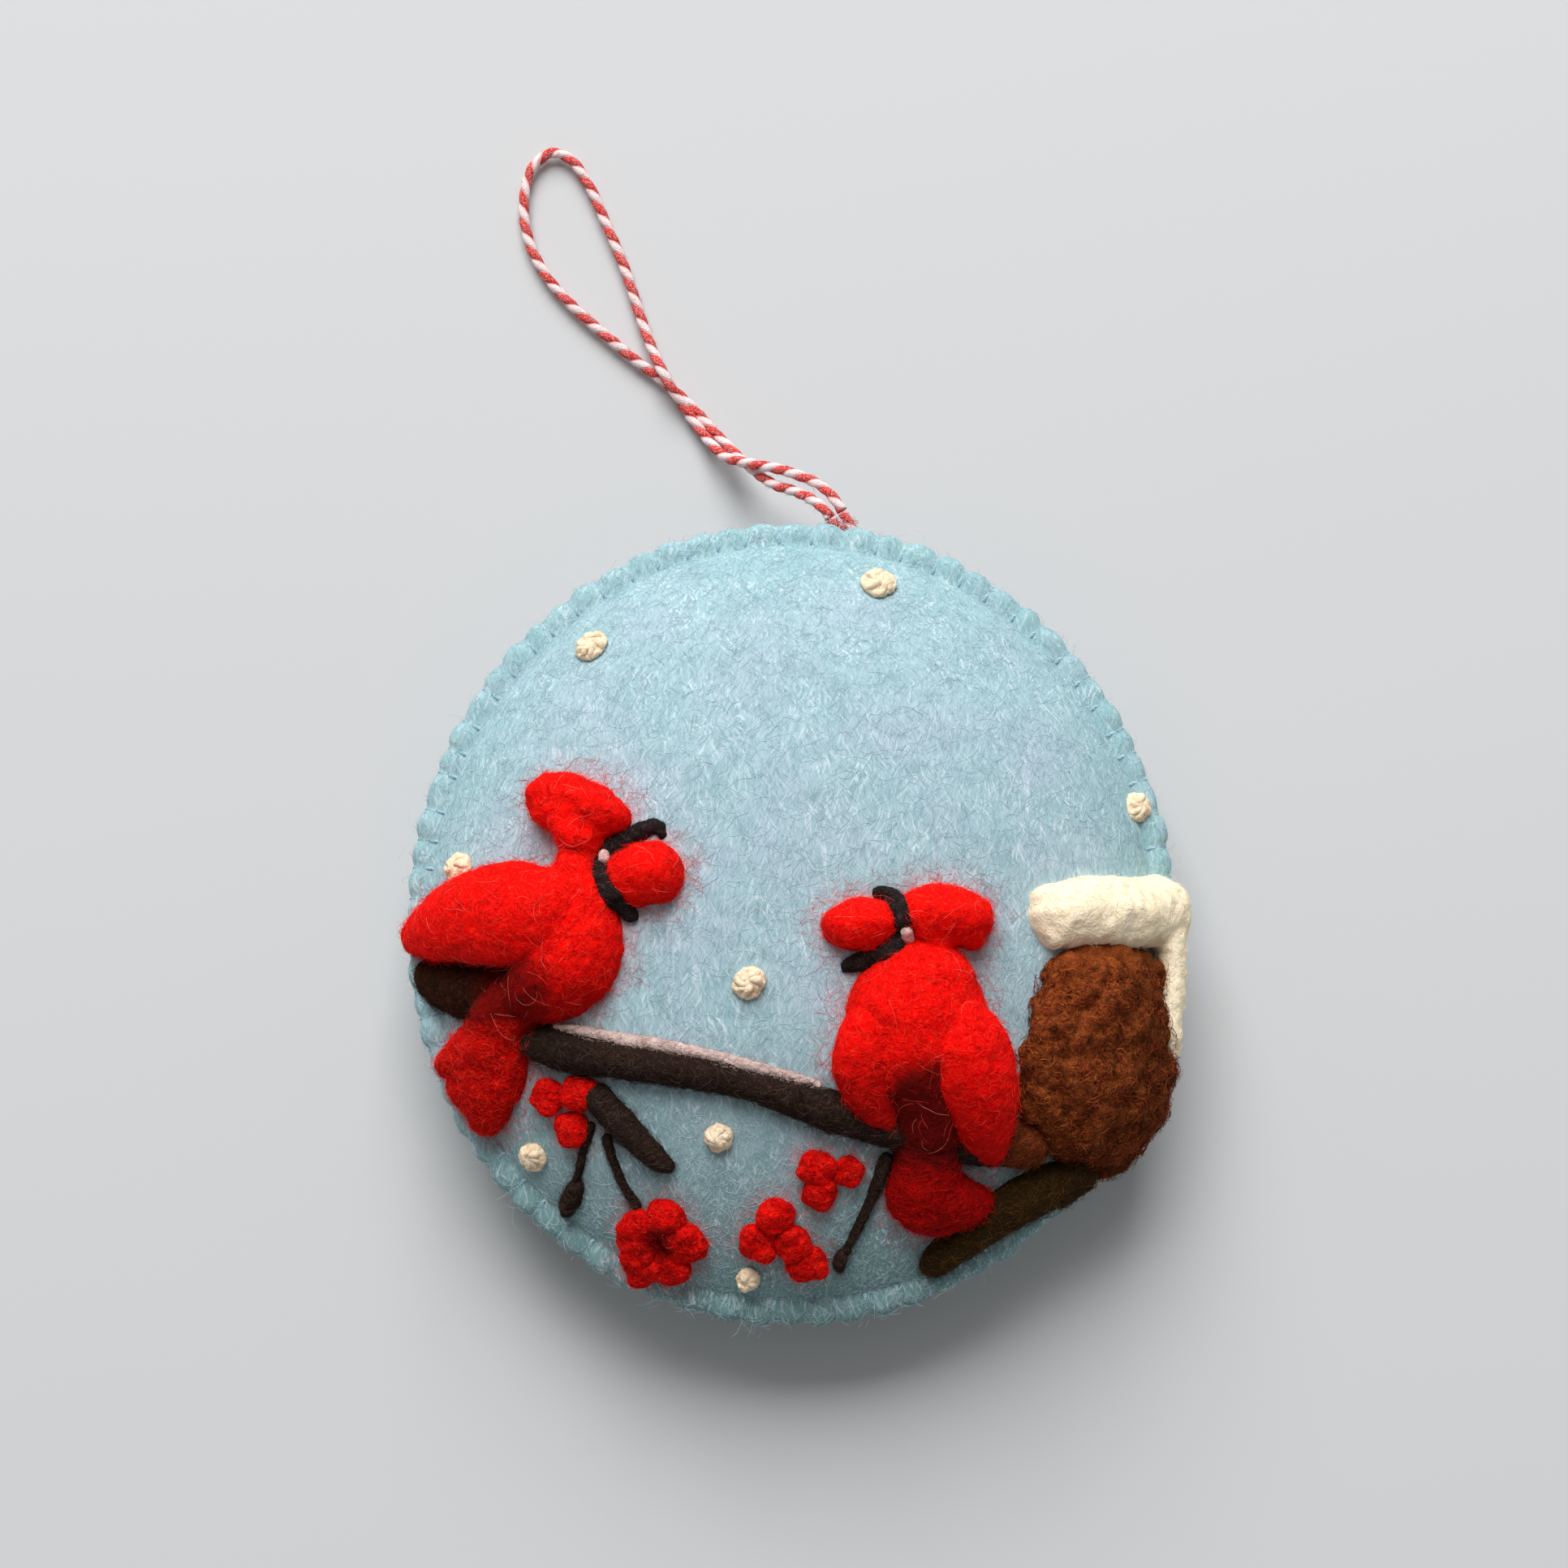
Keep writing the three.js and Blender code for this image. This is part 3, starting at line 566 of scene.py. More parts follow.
# The eyes' pale pink is a painted highlight, a glint of light on each eye.
EYE_GLINT = WoolFinish("eye_thread", srgb(222, 180, 174), srgb(120, 84, 84), srgb(246, 226, 220))
SNOW_KNOT = WoolFinish(
    "cream_thread", srgb(252, 230, 198), srgb(220, 186, 146), srgb(255, 244, 222),
    fibre_length=1.2, fibre_width=0.16, blotch=0.8, depth=0.1,
)
STUFFING = WoolFinish(
    "polyester_fibre", srgb(242, 240, 234), srgb(212, 210, 204), srgb(252, 252, 250)
)
TWINE = TwineFinish("striped_twine", srgb(208, 34, 22), srgb(248, 226, 224), turns=-38.0)
STITCH = TwineFinish("light_blue_thread", srgb(146, 186, 202), srgb(172, 206, 216), turns=6.0)
FLOOR = FloorFinish("studio_floor", srgb(206, 207, 208), srgb(200, 202, 204))

def fibres(*shades: tuple[str, tuple[int, ...], tuple[int, ...]]) -> tuple[FibreFinish, ...]:
    """Finishes of loose fibres, each given as its name and two colours from 0 to 255."""
    return tuple(FibreFinish(name, srgb(*first), srgb(*second)) for name, first, second in shades)


FELT_FIBRES = fibres(
    ("felt_fibre_pale", (214, 230, 236), (198, 218, 226)),
    ("felt_fibre_blue", (180, 208, 216), (198, 216, 226)),
    ("felt_fibre_cool", (166, 198, 204), (184, 210, 216)),
)
RED_FIBRES = fibres(
    ("red_fibre", (254, 14, 8), (232, 10, 6)),
    ("red_fibre_deep", (186, 4, 3), (220, 10, 6)),
    ("red_fibre_light", (255, 66, 48), (255, 38, 26)),
)
# Dark red fibres for red wool that is painted in shade.
PAINTED_SHADE_FIBRES = fibres(
    ("painted_shade_fibre", (96, 10, 6), (66, 8, 5)),
    ("painted_shade_fibre_red", (150, 16, 10), (116, 10, 6)),
)
HAIR_FIBRES = fibres(
    ("hair_rose", (244, 146, 132), (230, 96, 84)),
    ("hair_red", (250, 92, 76), (240, 60, 46)),
)
FEATHER_FIBRES = fibres(
    ("feather_fibre", (70, 36, 20), (38, 20, 10)),
    ("feather_fibre_red", (118, 18, 12), (84, 12, 8)),
)
HAZE_FIBRES = fibres(
    ("haze_fibre_red", (222, 92, 96), (208, 70, 74)),
    ("haze_fibre_rose", (206, 164, 172), (204, 140, 148)),
)
MASK_FIBRES = fibres(("mask_fibre", (54, 44, 42), (30, 24, 24)))
TRUNK_FIBRES = fibres(
    ("trunk_fibre", (128, 58, 24), (88, 38, 16)),
    ("trunk_fibre_orange", (184, 92, 44), (138, 64, 28)),
    ("trunk_fibre_dark", (66, 32, 14), (96, 48, 20)),
    ("trunk_fibre_rust", (156, 62, 38), (112, 44, 26)),
)
CREAM_FIBRES = fibres(("cream_fibre", (255, 242, 218), (246, 230, 202)))
BRANCH_FIBRES = fibres(
    ("branch_fibre", (56, 40, 34), (36, 26, 22)),
    ("branch_fibre_dark", (36, 26, 22), (50, 36, 30)),
    ("branch_fibre_pale", (96, 78, 72), (66, 50, 44)),
)
BARK_FIBRES = fibres(
    ("bark_fibre", (70, 46, 18), (42, 28, 10)),
    ("bark_fibre_pale", (112, 76, 36), (74, 50, 22)),
)
FROST_FIBRES = fibres(("frost_fibre", (226, 206, 200), (186, 160, 154)))
TWINE_FIBRES = fibres(
    ("twine_fibre_red", (216, 44, 32), (190, 30, 22)),
    ("twine_fibre_white", (246, 232, 232), (230, 206, 206)),
)


@dataclass(frozen=True)
class PhotoCamera:
    """The camera, set where the photograph was taken from, and what its pixels look at."""

    pixels: float = 1932.0
    pixel_size: float = 0.0923
    distance: float = 350.0
    tilt_deg: float = 8.0
    sensor: float = 36.0
    aim_across: float = -9.0
    aim_up: float = 164.0
    clip: tuple[float, float] = (0.01, 10.0)

    @property
    def tilt(self) -> float:
        """How far the camera leans from straight above, in radians."""
        return math.radians(self.tilt_deg)

    @property
    def up(self) -> Vector:
        """The direction that is up in the picture."""
        return Vector((0, math.cos(self.tilt), math.sin(self.tilt)))

    @property
    def ahead(self) -> Vector:
        """The direction that the camera looks in."""
        return Vector((0, math.sin(self.tilt), -math.cos(self.tilt)))

    def eye(self, disc: "Disc") -> Vector:
        """Where the camera stands, in millimetres."""
        across = self.aim_across * self.pixel_size
        up = self.aim_up * self.pixel_size / math.cos(self.tilt)
        return disc.centre + Vector((across, up, 0)) - self.ahead * self.distance

    def direction(self, across_px: float, down_px: float) -> Vector:
        """The way that a pixel of the photograph looks."""
        middle = self.pixels / 2
        scale = self.pixel_size / self.distance
        return (
            self.ahead
            + Vector((1, 0, 0)) * ((across_px - middle) * scale)
            + self.up * ((middle - down_px) * scale)
        )

    def make(self, disc: "Disc") -> Piece:
        """Makes the camera and gives it to the scene."""
        data = bpy.data.cameras.new("photo_camera")
        data.sensor_width = self.sensor
        data.lens = self.sensor * self.distance / (self.pixels * self.pixel_size)
        data.clip_start, data.clip_end = self.clip
        camera = bpy.data.objects.new("photo_camera", data)
        bpy.context.scene.collection.objects.link(camera)
        camera.location = self.eye(disc) * MM
        camera.rotation_euler = (self.tilt, 0, 0)
        bpy.context.scene.camera = camera
        return camera


@dataclass(frozen=True)
class Disc:
    """The stuffed disc as the solids have it, in millimetres."""

    centre: Vector
    width: float = 87.0
    height: float = 91.0
    felt: float = 2.0
    seam_gap: float = 0.3
    front_crown: float = 13.0
    back_crown: float = 9.5
    stitch_band: float = 3.0
    stitch_count: int = 76
    exit_deg: float = 82.3
    swell_power: float = 2.4
    swell_edge: float = 0.8
    view_rounds: int = 12
    least_slope: float = 0.6

    @classmethod
    def from_frame(cls) -> "Disc":
        """Reads where the disc lies from the solids."""
        low, high = (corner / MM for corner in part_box("front_felt_panel"))
        seam = low.z - cls.seam_gap / 2
        return cls(Vector(((low.x + high.x) / 2, (low.y + high.y) / 2, seam)))

    @property
    def face_step(self) -> float:
        """How far a felt's outer face lies from the seam's middle at the stitches."""
        return self.seam_gap / 2 + self.felt

    def rim(self, angle: float) -> float:
        """Distance from the centre to the edge along an angle."""
        half_width, half_height = self.width / 2, self.height / 2
        return 1 / math.hypot(math.cos(angle) / half_width, math.sin(angle) / half_height)

    def at(self, angle: float, radius: float, height: float) -> Vector:
        """The place at an angle, a radius and a height over the seam."""
        return self.centre + Vector((radius * math.cos(angle), radius * math.sin(angle), height))

    def outwards(self, place: Vector) -> tuple[Vector, float]:
        """The way from the centre to a place, and how far off the edge is that way."""
        away = (place - self.centre).xy
        return away, self.rim(math.atan2(away.y, away.x))

    def bed(self, bm: Shape, sink: float) -> None:
        """Flattens a shape where it would go more than sink below the front felt's face."""
        for vertex in bm.verts:
            floor = self.front_height(vertex.co.x, vertex.co.y) - sink
            vertex.co.z = max(vertex.co.z, floor)

    def swell(self, share: float, crown: float) -> float:
        """How high the stuffing lifts a felt at a share of the way out to the stitches."""
        rest = max(1 - share**self.swell_power, 0.0)
        return crown * rest**self.swell_edge

    def front_height(self, across: float, up: float) -> float:
        """Height of the front felt's face over a place in the row frame."""
        dx, dy = across - self.centre.x, up - self.centre.y
        share = math.hypot(dx, dy) / (self.rim(math.atan2(dy, dx)) - self.stitch_band)
        lift = self.swell(share, self.front_crown) if share < 1 else 0.0
        return self.centre.z + self.face_step + lift

    def front_normal(self, across: float, up: float) -> Vector:
        """The way that the front felt faces over a place in the row frame."""
        span = self.felt / 2
        slope_x = self.front_height(across + span, up) - self.front_height(across - span, up)
        slope_y = self.front_height(across, up + span) - self.front_height(across, up - span)
        return Vector((-slope_x, -slope_y, 2 * span)).normalized()

    def seen_at(self, camera: PhotoCamera, across_px: float, down_px: float, lift: float) -> Vector:
        """The place lift millimetres over the front felt that a pixel shows."""
        eye, look = camera.eye(self), camera.direction(across_px, down_px)
        level = self.centre.z + self.front_crown
        for _ in range(self.view_rounds):
            place = eye + look * ((level - eye.z) / look.z)
            slope = self.front_normal(place.x, place.y).z
            level = self.front_height(place.x, place.y) + lift / max(slope, self.least_slope)
        return eye + look * ((level - eye.z) / look.z)


def finished(
    bm: Shape, name: str, finish: Finish, body: str = DISC_BODY, node: str | None = None
) -> Piece:
    """Makes a piece of a bmesh in millimetres.

    Args:
        bm: the shape, which is freed.
        name: the piece's name.
        finish: what it is dressed in.
        body: the body that it rides on.
        node: the solid that it stands for, if any.

    Returns:
        The object, at the origin, with its place in its mesh.
    """
    bm.transform(Matrix.Scale(MM, 4))
    for face in bm.faces:
        face.smooth = True
    mesh = bpy.data.meshes.new(name)
    bm.to_mesh(mesh)
    bm.free()
    piece = bpy.data.objects.new(name, mesh)
    mesh.materials.append(finish.material())
    settle(piece, body, node)
    log.info("%s: %d faces", name, len(mesh.polygons))
    return piece


def settle(piece: Piece, body: str, node: str | None = None) -> None:
    """Links a piece, and says what it rides on and stands for."""
    bpy.context.scene.collection.objects.link(piece)
    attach(piece, body)
    if node:
        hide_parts(node)


def veil(felt: Piece, name: str, trees: list[BVHTree], reach: float) -> None:
    """Marks on a felt how near some wool is.

    Args:
        felt: what is marked, at its points.
        name: the mark's name.
        trees: the wool, in millimetres.
        reach: how far from the wool the mark falls from 1 to 0.
    """
    marks = []
    for vertex in felt.data.vertices:
        found = [tree.find_nearest(vertex.co / MM, reach)[3] for tree in trees]
        near = min((away for away in found if away is not None), default=reach)
        marks.append(1 - near / reach)
    layer = felt.data.attributes.new(name, "FLOAT", "POINT")
    layer.data.foreach_set("value", marks)


def tree_of(piece: Piece) -> BVHTree:
    """A search tree of a piece's mesh, in millimetres."""
    points = [vertex.co / MM for vertex in piece.data.vertices]
    return BVHTree.FromPolygons(points, [tuple(p.vertices) for p in piece.data.polygons])


def dropped(tree: BVHTree, place: Vector) -> Vector | None:
    """Where a piece is first met straight down over a place, if at all."""
    return tree.ray_cast(Vector((place.x, place.y, SKY)), Vector((0, 0, -1)))[0]


def push_at(place: Vector, lumps: Lumps) -> float:
    """How far lumps, given as pairs of reach and size, push a place."""
    return sum(reach * noise.noise(place / size) for reach, size in lumps)


def ball(
    bm: Shape, place: Vector, axes: tuple[Vector, Vector, Vector], radius: float = 1.0
) -> None:
    """Adds a ball that is stretched along three directions.

    Args:
        bm: the mesh that it is added to.
        place: its middle.
        axes: the directions, each as long as the ball reaches.
        radius: how much of that it fills.
    """
    matrix = Matrix(axes).transposed().to_4x4()
    matrix.translation = place
    bmesh.ops.create_icosphere(bm, subdivisions=3, radius=radius, matrix=matrix)


def smooth_route(points: list[Vector], per_span: int) -> list[Vector]:
    """A centripetal Catmull-Rom line through points, as the solids' twine has.

    Args:
        points: what the line goes through.
        per_span: steps between two of them.

    Returns:
        The line's points.
    """
    ends = [2 * points[0] - points[1], *points, 2 * points[-1] - points[-2]]
    line = []
    for k in range(len(points) - 1):
        a, b, c, d = ends[k : k + 4]
        t1 = (b - a).length ** 0.5
        t2 = t1 + (c - b).length ** 0.5
        t3 = t2 + (d - c).length ** 0.5
        for step in range(per_span):
            t = t1 + (t2 - t1) * step / per_span
            ab = a.lerp(b, t / t1)
            bc = b.lerp(c, (t - t1) / (t2 - t1))
            cd = c.lerp(d, (t - t2) / (t3 - t2))
            abc = ab.lerp(bc, t / t2)
            bcd = bc.lerp(cd, (t - t1) / (t3 - t1))
            line.append(abc.lerp(bcd, (t - t1) / (t2 - t1)))
    return [*line, points[-1].copy()]


def line_length(line: list[Vector]) -> float:
    """How long a line of points is."""
    return sum((b - a).length for a, b in zip(line, line[1:]))


def evenly(line: list[Vector], count: int) -> list[Vector]:
    """The same line as count + 1 points the same way apart."""
    runs = [0.0, *accumulate((b - a).length for a, b in zip(line, line[1:]))]
    spaced = []
    for k in range(count + 1):
        run = runs[-1] * k / count
        spot = min(max(bisect_left(runs, run), 1), len(line) - 1)
        share = (run - runs[spot - 1]) / max(runs[spot] - runs[spot - 1], 1e-9)
        spaced.append(line[spot - 1].lerp(line[spot], share))
    return spaced


@dataclass(frozen=True)
class Yarn:
    """Two plies twisted round each other, as one tube with a map of its own."""

    radius: float
    turns: float
    finish: TwineFinish | None = None
    sides: int = 16
    groove: float = 0.28
    lobe_power: float = 0.8
    weld_share: float = 0.02
    steep: float = 0.8

    def wrap(self, bm: Shape, line: list[Vector]) -> None:
        """Wraps a grid round a line, and closes its seam and its ends.

        Args:
            bm: the mesh that the yarn is added to.
            line: evenly spaced points.
        """
        chart = bm.loops.layers.uv.get("yarn") or bm.loops.layers.uv.new("yarn")
        steps = len(line) - 1
        made = bmesh.ops.create_grid(
            bm, x_segments=self.sides, y_segments=steps, size=0.5, calc_uvs=True
        )["verts"]
        if self.finish is not None:
            for face in {face for vertex in made for face in vertex.link_faces}:
                for loop in face.loops:
                    loop[chart].uv.y *= self.turns / self.finish.turns
        frames = self._frames(line)
        for vertex in made:
            around, along = vertex.co.x + 0.5, vertex.co.y + 0.5
            spot = round(along * steps)
            side, over = frames[spot]
            turn = around * math.tau
            lobe = abs(math.cos(turn - along * self.turns * math.tau))
            radius = self.radius * (1 - self.groove + self.groove * lobe**self.lobe_power)
            vertex.co = line[spot] + (side * math.cos(turn) + over * math.sin(turn)) * radius
        bmesh.ops.remove_doubles(bm, verts=made, dist=self.radius * self.weld_share)
        edges = [edge for edge in bm.edges if edge.is_boundary]
        bmesh.ops.holes_fill(bm, edges=edges, sides=self.sides + 1)

    def _frames(self, line: list[Vector]) -> list[tuple[Vector, Vector]]:
        """A pair of cross directions at each point, carried along without a twist."""
        tangents = [
            (line[min(k + 1, len(line) - 1)] - line[max(k - 1, 0)]).normalized()
            for k in range(len(line))
        ]
        start = Vector((0, 0, 1)) if abs(tangents[0].z) < self.steep else Vector((1, 0, 0))
        side = tangents[0].cross(start).normalized()
        frames = []
        for tangent in tangents:
            side = (side - tangent * side.dot(tangent)).normalized()
            frames.append((side, tangent.cross(side)))
        return frames


@dataclass(frozen=True)
class StitchPlan:
    """Where the stitches go over the edge, and how far the felt puffs out between them."""

    start: float
    offsets: tuple[float, ...]
    puffs: tuple[float, ...]
    unevenness = 0.26
    least_puff, puff_range = 0.5, 0.9
    trough, roundness = 0.1, 0.85

    @classmethod
    def sewn(cls, disc: Disc, seed: int = 11) -> "StitchPlan":
        """Plans hand stitches, a little uneven, from where the twine leaves."""
        rng = random.Random(seed)
        pitch = math.tau / disc.stitch_count
        chances = [rng.random() - 0.5 for _ in range(disc.stitch_count - 1)]
        uneven = [0.0, *(chance * cls.unevenness for chance in chances)]
        offsets = tuple(pitch * (k + shift) for k, shift in enumerate(uneven))
        puffs = tuple(cls.least_puff + cls.puff_range * rng.random() for _ in offsets)
        return cls(math.radians(disc.exit_deg), offsets, puffs)

    def puff(self, angle: float) -> float:
        """How full the felt is at an angle: 0 at a stitch, and about 1 between two."""
        turn = (angle - self.start) % math.tau
        k = bisect_left(self.offsets, turn) - 1
        if k < 0:
            return 0.0
        after = self.offsets[k + 1] if k + 1 < len(self.offsets) else math.tau
        share = (turn - self.offsets[k]) / (after - self.offsets[k])
        arch = max(math.sin(math.pi * share) - self.trough, 0.0) / (1 - self.trough)
        return self.puffs[k] * arch**self.roundness


@dataclass(frozen=True)
class EdgeStation:
    """One ring of a felt's stitched edge: its place, and what a puff and a dent add."""

    inset: float
    height: float
    puff_out: float = 0.0
    dent_in: float = 0.0
    puff_up: float = 0.0
    dent_down: float = 0.0


EDGE_STATIONS = (
    EdgeStation(2.4, 2.15, 0.0, 0.0, 0.05, 0.08),
    EdgeStation(1.7, 2.14, 0.0, 0.0, 0.1, 0.2),
    EdgeStation(1.0, 1.98, 0.03, 0.1, 0.14, 0.3),
    EdgeStation(0.5, 1.62, 0.1, 0.26, 0.12, 0.28),
    EdgeStation(0.2, 1.15, 0.16, 0.38, 0.06, 0.18),
    EdgeStation(0.14, 0.68, 0.16, 0.42, 0.0, 0.1),
    EdgeStation(0.35, 0.3, 0.1, 0.34, 0.0, 0.05),
    EdgeStation(0.9, 0.15, 0.0, 0.2),
)


class Side(Enum):
    """Which of the two felts."""

    FRONT = 1
    BACK = -1


@dataclass
class FeltPanel:
    """One of the two round felts: a swollen face, a stitched edge and an inner face."""

    disc: Disc
    plan: StitchPlan
    side: Side
    segments: int = 152
    hem: float = 1.4
    inner_shares: tuple[float, ...] = (1.0, 0.86, 0.6, 0.3, 0.06)
    lumps: Lumps = ((0.22, 10.0), (0.066, 2.8), (0.0308, 1.1))
    flat_power: int = 8
    allowance: float = 5.0

    @property
    def crown(self) -> float:
        """How far the stuffing lifts the middle of this felt."""
        front = self.side is Side.FRONT
        return self.disc.front_crown if front else self.disc.back_crown

    def _spot(self, angle: float, radius: float, height: float, floor: float) -> Vector:
        """A point of the felt, never under the plane that the ornament lies on."""
        centre = self.disc.centre
        return Vector(
            (
                centre.x + radius * math.cos(angle),
                centre.y + radius * math.sin(angle),
                max(centre.z + self.side.value * height, floor),
            )
        )

    def _dome(self, share: float, angle: float) -> Vector:
        """A point of the outer face."""
        radius = (self.disc.rim(angle) - self.disc.stitch_band) * share
        height = self.disc.face_step + self.disc.swell(share, self.crown)
        spot = self._spot(angle, radius, height, 0.0)
        soft = 1 - share**self.flat_power
        push = push_at(spot, self.lumps)
        spot.z = max(spot.z + self.side.value * push * soft, 0.0)
        return spot

    @staticmethod
    def _polar(across: float, up: float) -> tuple[float, float]:
        """Turns a place on a square grid into its share and angle on a disc."""
        if abs(across) >= abs(up):
            if across == 0:
                return 0.0, 0.0
            turn = 0.0 if across > 0 else math.pi
            return abs(across), turn + math.pi / 4 * up / across
        turn = math.pi / 2 if up > 0 else 3 * math.pi / 2
        return abs(up), turn - math.pi / 4 * across / up

    @staticmethod
    def _extrude(
        bm: Shape, edges: list[bmesh.types.BMEdge]
    ) -> tuple[list[bmesh.types.BMVert], list[bmesh.types.BMEdge]]:
        """Extrudes a ring of edges, and returns the new ring's points and edges."""
        made = bmesh.ops.extrude_edge_only(bm, edges=edges)["geom"]
        verts = [part for part in made if isinstance(part, bmesh.types.BMVert)]
        ring = set(verts)
        others = [part for part in made if isinstance(part, bmesh.types.BMEdge)]
        return verts, [edge for edge in others if all(end in ring for end in edge.verts)]

    @staticmethod
    def _order(bm: Shape) -> None:
        """Puts the faces in the order of their points, since extruded ones come in any order."""
        bm.verts.index_update()
        faces = [(sorted((v.index for v in face.verts), reverse=True), face) for face in bm.faces]
        faces.sort(key=lambda entry: entry[0])
        ranks = {face: rank for rank, (_, face) in enumerate(faces)}
        bm.faces.sort(key=ranks.__getitem__)

    def _angle(self, vertex: bmesh.types.BMVert) -> float:
        """The angle of a point round the disc's centre."""
        away = vertex.co - self.disc.centre
        return math.atan2(away.y, away.x)

    def build(self) -> Piece:
        """Returns:
            The felt.
        """
        bm = bmesh.new()
        count = self.segments
        grid = bmesh.ops.create_grid(bm, x_segments=count, y_segments=count, size=1.0)
        for vertex in grid["verts"]:
            vertex.co = self._dome(*self._polar(vertex.co.x, vertex.co.y))
        edges = [edge for edge in bm.edges if edge.is_boundary]
        for station in EDGE_STATIONS:
            verts, edges = self._extrude(bm, edges)
            for vertex in verts:
                angle = self._angle(vertex)
                puff = self.plan.puff(angle)
                dent = max(1 - puff, 0.0)
                out = puff * station.puff_out - dent * station.dent_in
                rise = puff * station.puff_up - dent * station.dent_down
                radius = self.disc.rim(angle) - station.inset + out
                vertex.co = self._spot(angle, radius, station.height + rise, 0.0)
        for share in self.inner_shares:
            verts, edges = self._extrude(bm, edges)
            height = self.disc.seam_gap / 2 + self.disc.swell(share, self.crown)
            for vertex in verts:
                angle = self._angle(vertex)
                radius = (self.disc.rim(angle) - self.disc.stitch_band - self.hem) * share
                vertex.co = self._spot(angle, radius, height, self.disc.felt)
        bmesh.ops.edgeloop_fill(bm, edges=edges)
        self._order(bm)
        bmesh.ops.recalc_face_normals(bm, faces=bm.faces)
        node = "front_felt_panel" if self.side is Side.FRONT else "back_felt_panel"
        piece = finished(bm, node.replace("_panel", ""), FELT, node=node)
        cut = tuple((size + self.allowance) * MM for size in (self.disc.width, self.disc.height))
        area = math.pi / 4 * cut[0] * cut[1]
        return piece


@dataclass
class RimStitching:
    """The thread that sews the felts together: a wrap at each hole and a run in the crease."""

    disc: Disc
    plan: StitchPlan
    wrap_yarn: Yarn = Yarn(0.25, STITCH.turns, sides=8, groove=0.2)
    run_yarn: Yarn = Yarn(0.2, 180.0, STITCH, sides=6, groove=0.1)
    run_inset: float = 0.7
    run_steps: int = 4
    steps: int = 20
    profile: tuple[tuple[float, float], ...] = (
        (3.0, 0.9), (3.0, 1.75), (2.76, 2.12), (2.3, 1.98), (1.75, 1.74),
        (1.2, 1.52), (0.84, 1.24), (0.64, 0.9), (0.56, 0.45), (0.54, 0.0),
    )

    def _place(self, angle: float, inset: float, height: float) -> Vector:
        """A point near the edge, with its height over the seam."""
        return self.disc.at(angle, self.disc.rim(angle) - inset, height)

    def build(self) -> Piece:
        """Makes the thread.

        Returns:
            The thread, as one piece.
        """
        bm = bmesh.new()
        under = tuple((inset, -height) for inset, height in reversed(self.profile[:-1]))
        for offset in self.plan.offsets[1:]:
            angle = self.plan.start + offset
            points = [self._place(angle, *spot) for spot in self.profile + under]
            self.wrap_yarn.wrap(bm, evenly(smooth_route(points, 4), self.steps))
        count = self.disc.stitch_count * self.run_steps
        first, last = self.plan.offsets[1], self.plan.offsets[-1]
        run = [
            self._place(self.plan.start + first + (last - first) * k / count, self.run_inset, 0)
            for k in range(count + 1)
        ]
        self.run_yarn.wrap(bm, run)
        return finished(bm, "rim_stitching", STITCH, node="rim_stitch_thread")


@dataclass
class Stuffing:
    """The loose fibre between the felts and the twine's knot inside the seam."""

    disc: Disc
    room: float = 0.5
    knot_radius: float = 1.5
    knot_depth: float = 12.0
    heading_deg: float = 120.0
    tail_reach: float = 1.56
    ply_pitch: float = 1.6
    inset: float = 2.4
    fill: float = 0.85
    dent_size: float = 4.0
    knot_yarn: Yarn = Yarn(0.5, -7.0, TWINE, sides=10)
    tail_yarn: Yarn = Yarn(0.64, -4.0, TWINE, sides=16)
    knot_steps: int = 73
    tail_steps: int = 80
    tail_root: float = 0.6

    def build(self) -> list[Piece]:
        """Makes the stuffing and the knot.

        Returns:
            Both pieces.
        """
        bm = bmesh.new()
        bmesh.ops.create_icosphere(bm, subdivisions=5, radius=1.0)
        inset = self.disc.stitch_band + self.inset
        for vertex in bm.verts:
            angle = math.atan2(vertex.co.y, vertex.co.x)
            share = min(math.hypot(vertex.co.x, vertex.co.y), 1.0)
            crown = self.disc.front_crown if vertex.co.z > 0 else self.disc.back_crown
            side = 1 if vertex.co.z > 0 else -1
            height = side * max(self.disc.swell(share, crown - self.room), 0.0)
            radius = (self.disc.rim(angle) - inset) * share
            spot = self.disc.at(angle, radius, height)
            spot.z = max(spot.z, self.disc.felt + self.room)
            spot.z -= side * self.room * abs(noise.noise(spot / self.dent_size))
            vertex.co = spot
        wad = finished(bm, "stuffing_wad", STUFFING, node="fibre_stuffing")
        return [wad, self._knot()]

    def _knot(self) -> Piece:
        """Ties the overhand knot inside the seam, with its two tails to the edge."""
        bm = bmesh.new()
        exit_angle = math.radians(self.disc.exit_deg)
        leave = self.disc.at(exit_angle, self.disc.rim(exit_angle), 0)
        heading = math.radians(self.heading_deg)
        along = Vector((math.cos(heading), math.sin(heading), 0))
        across = Vector((-along.y, along.x, 0))
        centre = leave - along * self.knot_depth
        loop = []
        for k in range(self.knot_steps):
            turn = math.tau * k / self.knot_steps
            bend = 2 + math.cos(3 * turn)
            loop.append(
                centre
                + along * (self.knot_radius / 3 * bend * math.cos(2 * turn))
                + across * (self.knot_radius / 3 * bend * math.sin(2 * turn))
                + Vector((0, 0, self.knot_radius / 2 * math.sin(3 * turn)))
            )
        self.knot_yarn.wrap(bm, loop)
        for side in (-1, 1):
            shift = across * (side * self.ply_pitch / 2)
            tail = [
                centre + shift * self.tail_root + along * self.knot_radius * self.tail_root,
                leave + shift + along * self.tail_reach,
            ]
            self.tail_yarn.wrap(bm, evenly(tail, self.tail_steps))
        return finished(bm, "anchor_knot", TWINE, node="loop_anchor_knot")


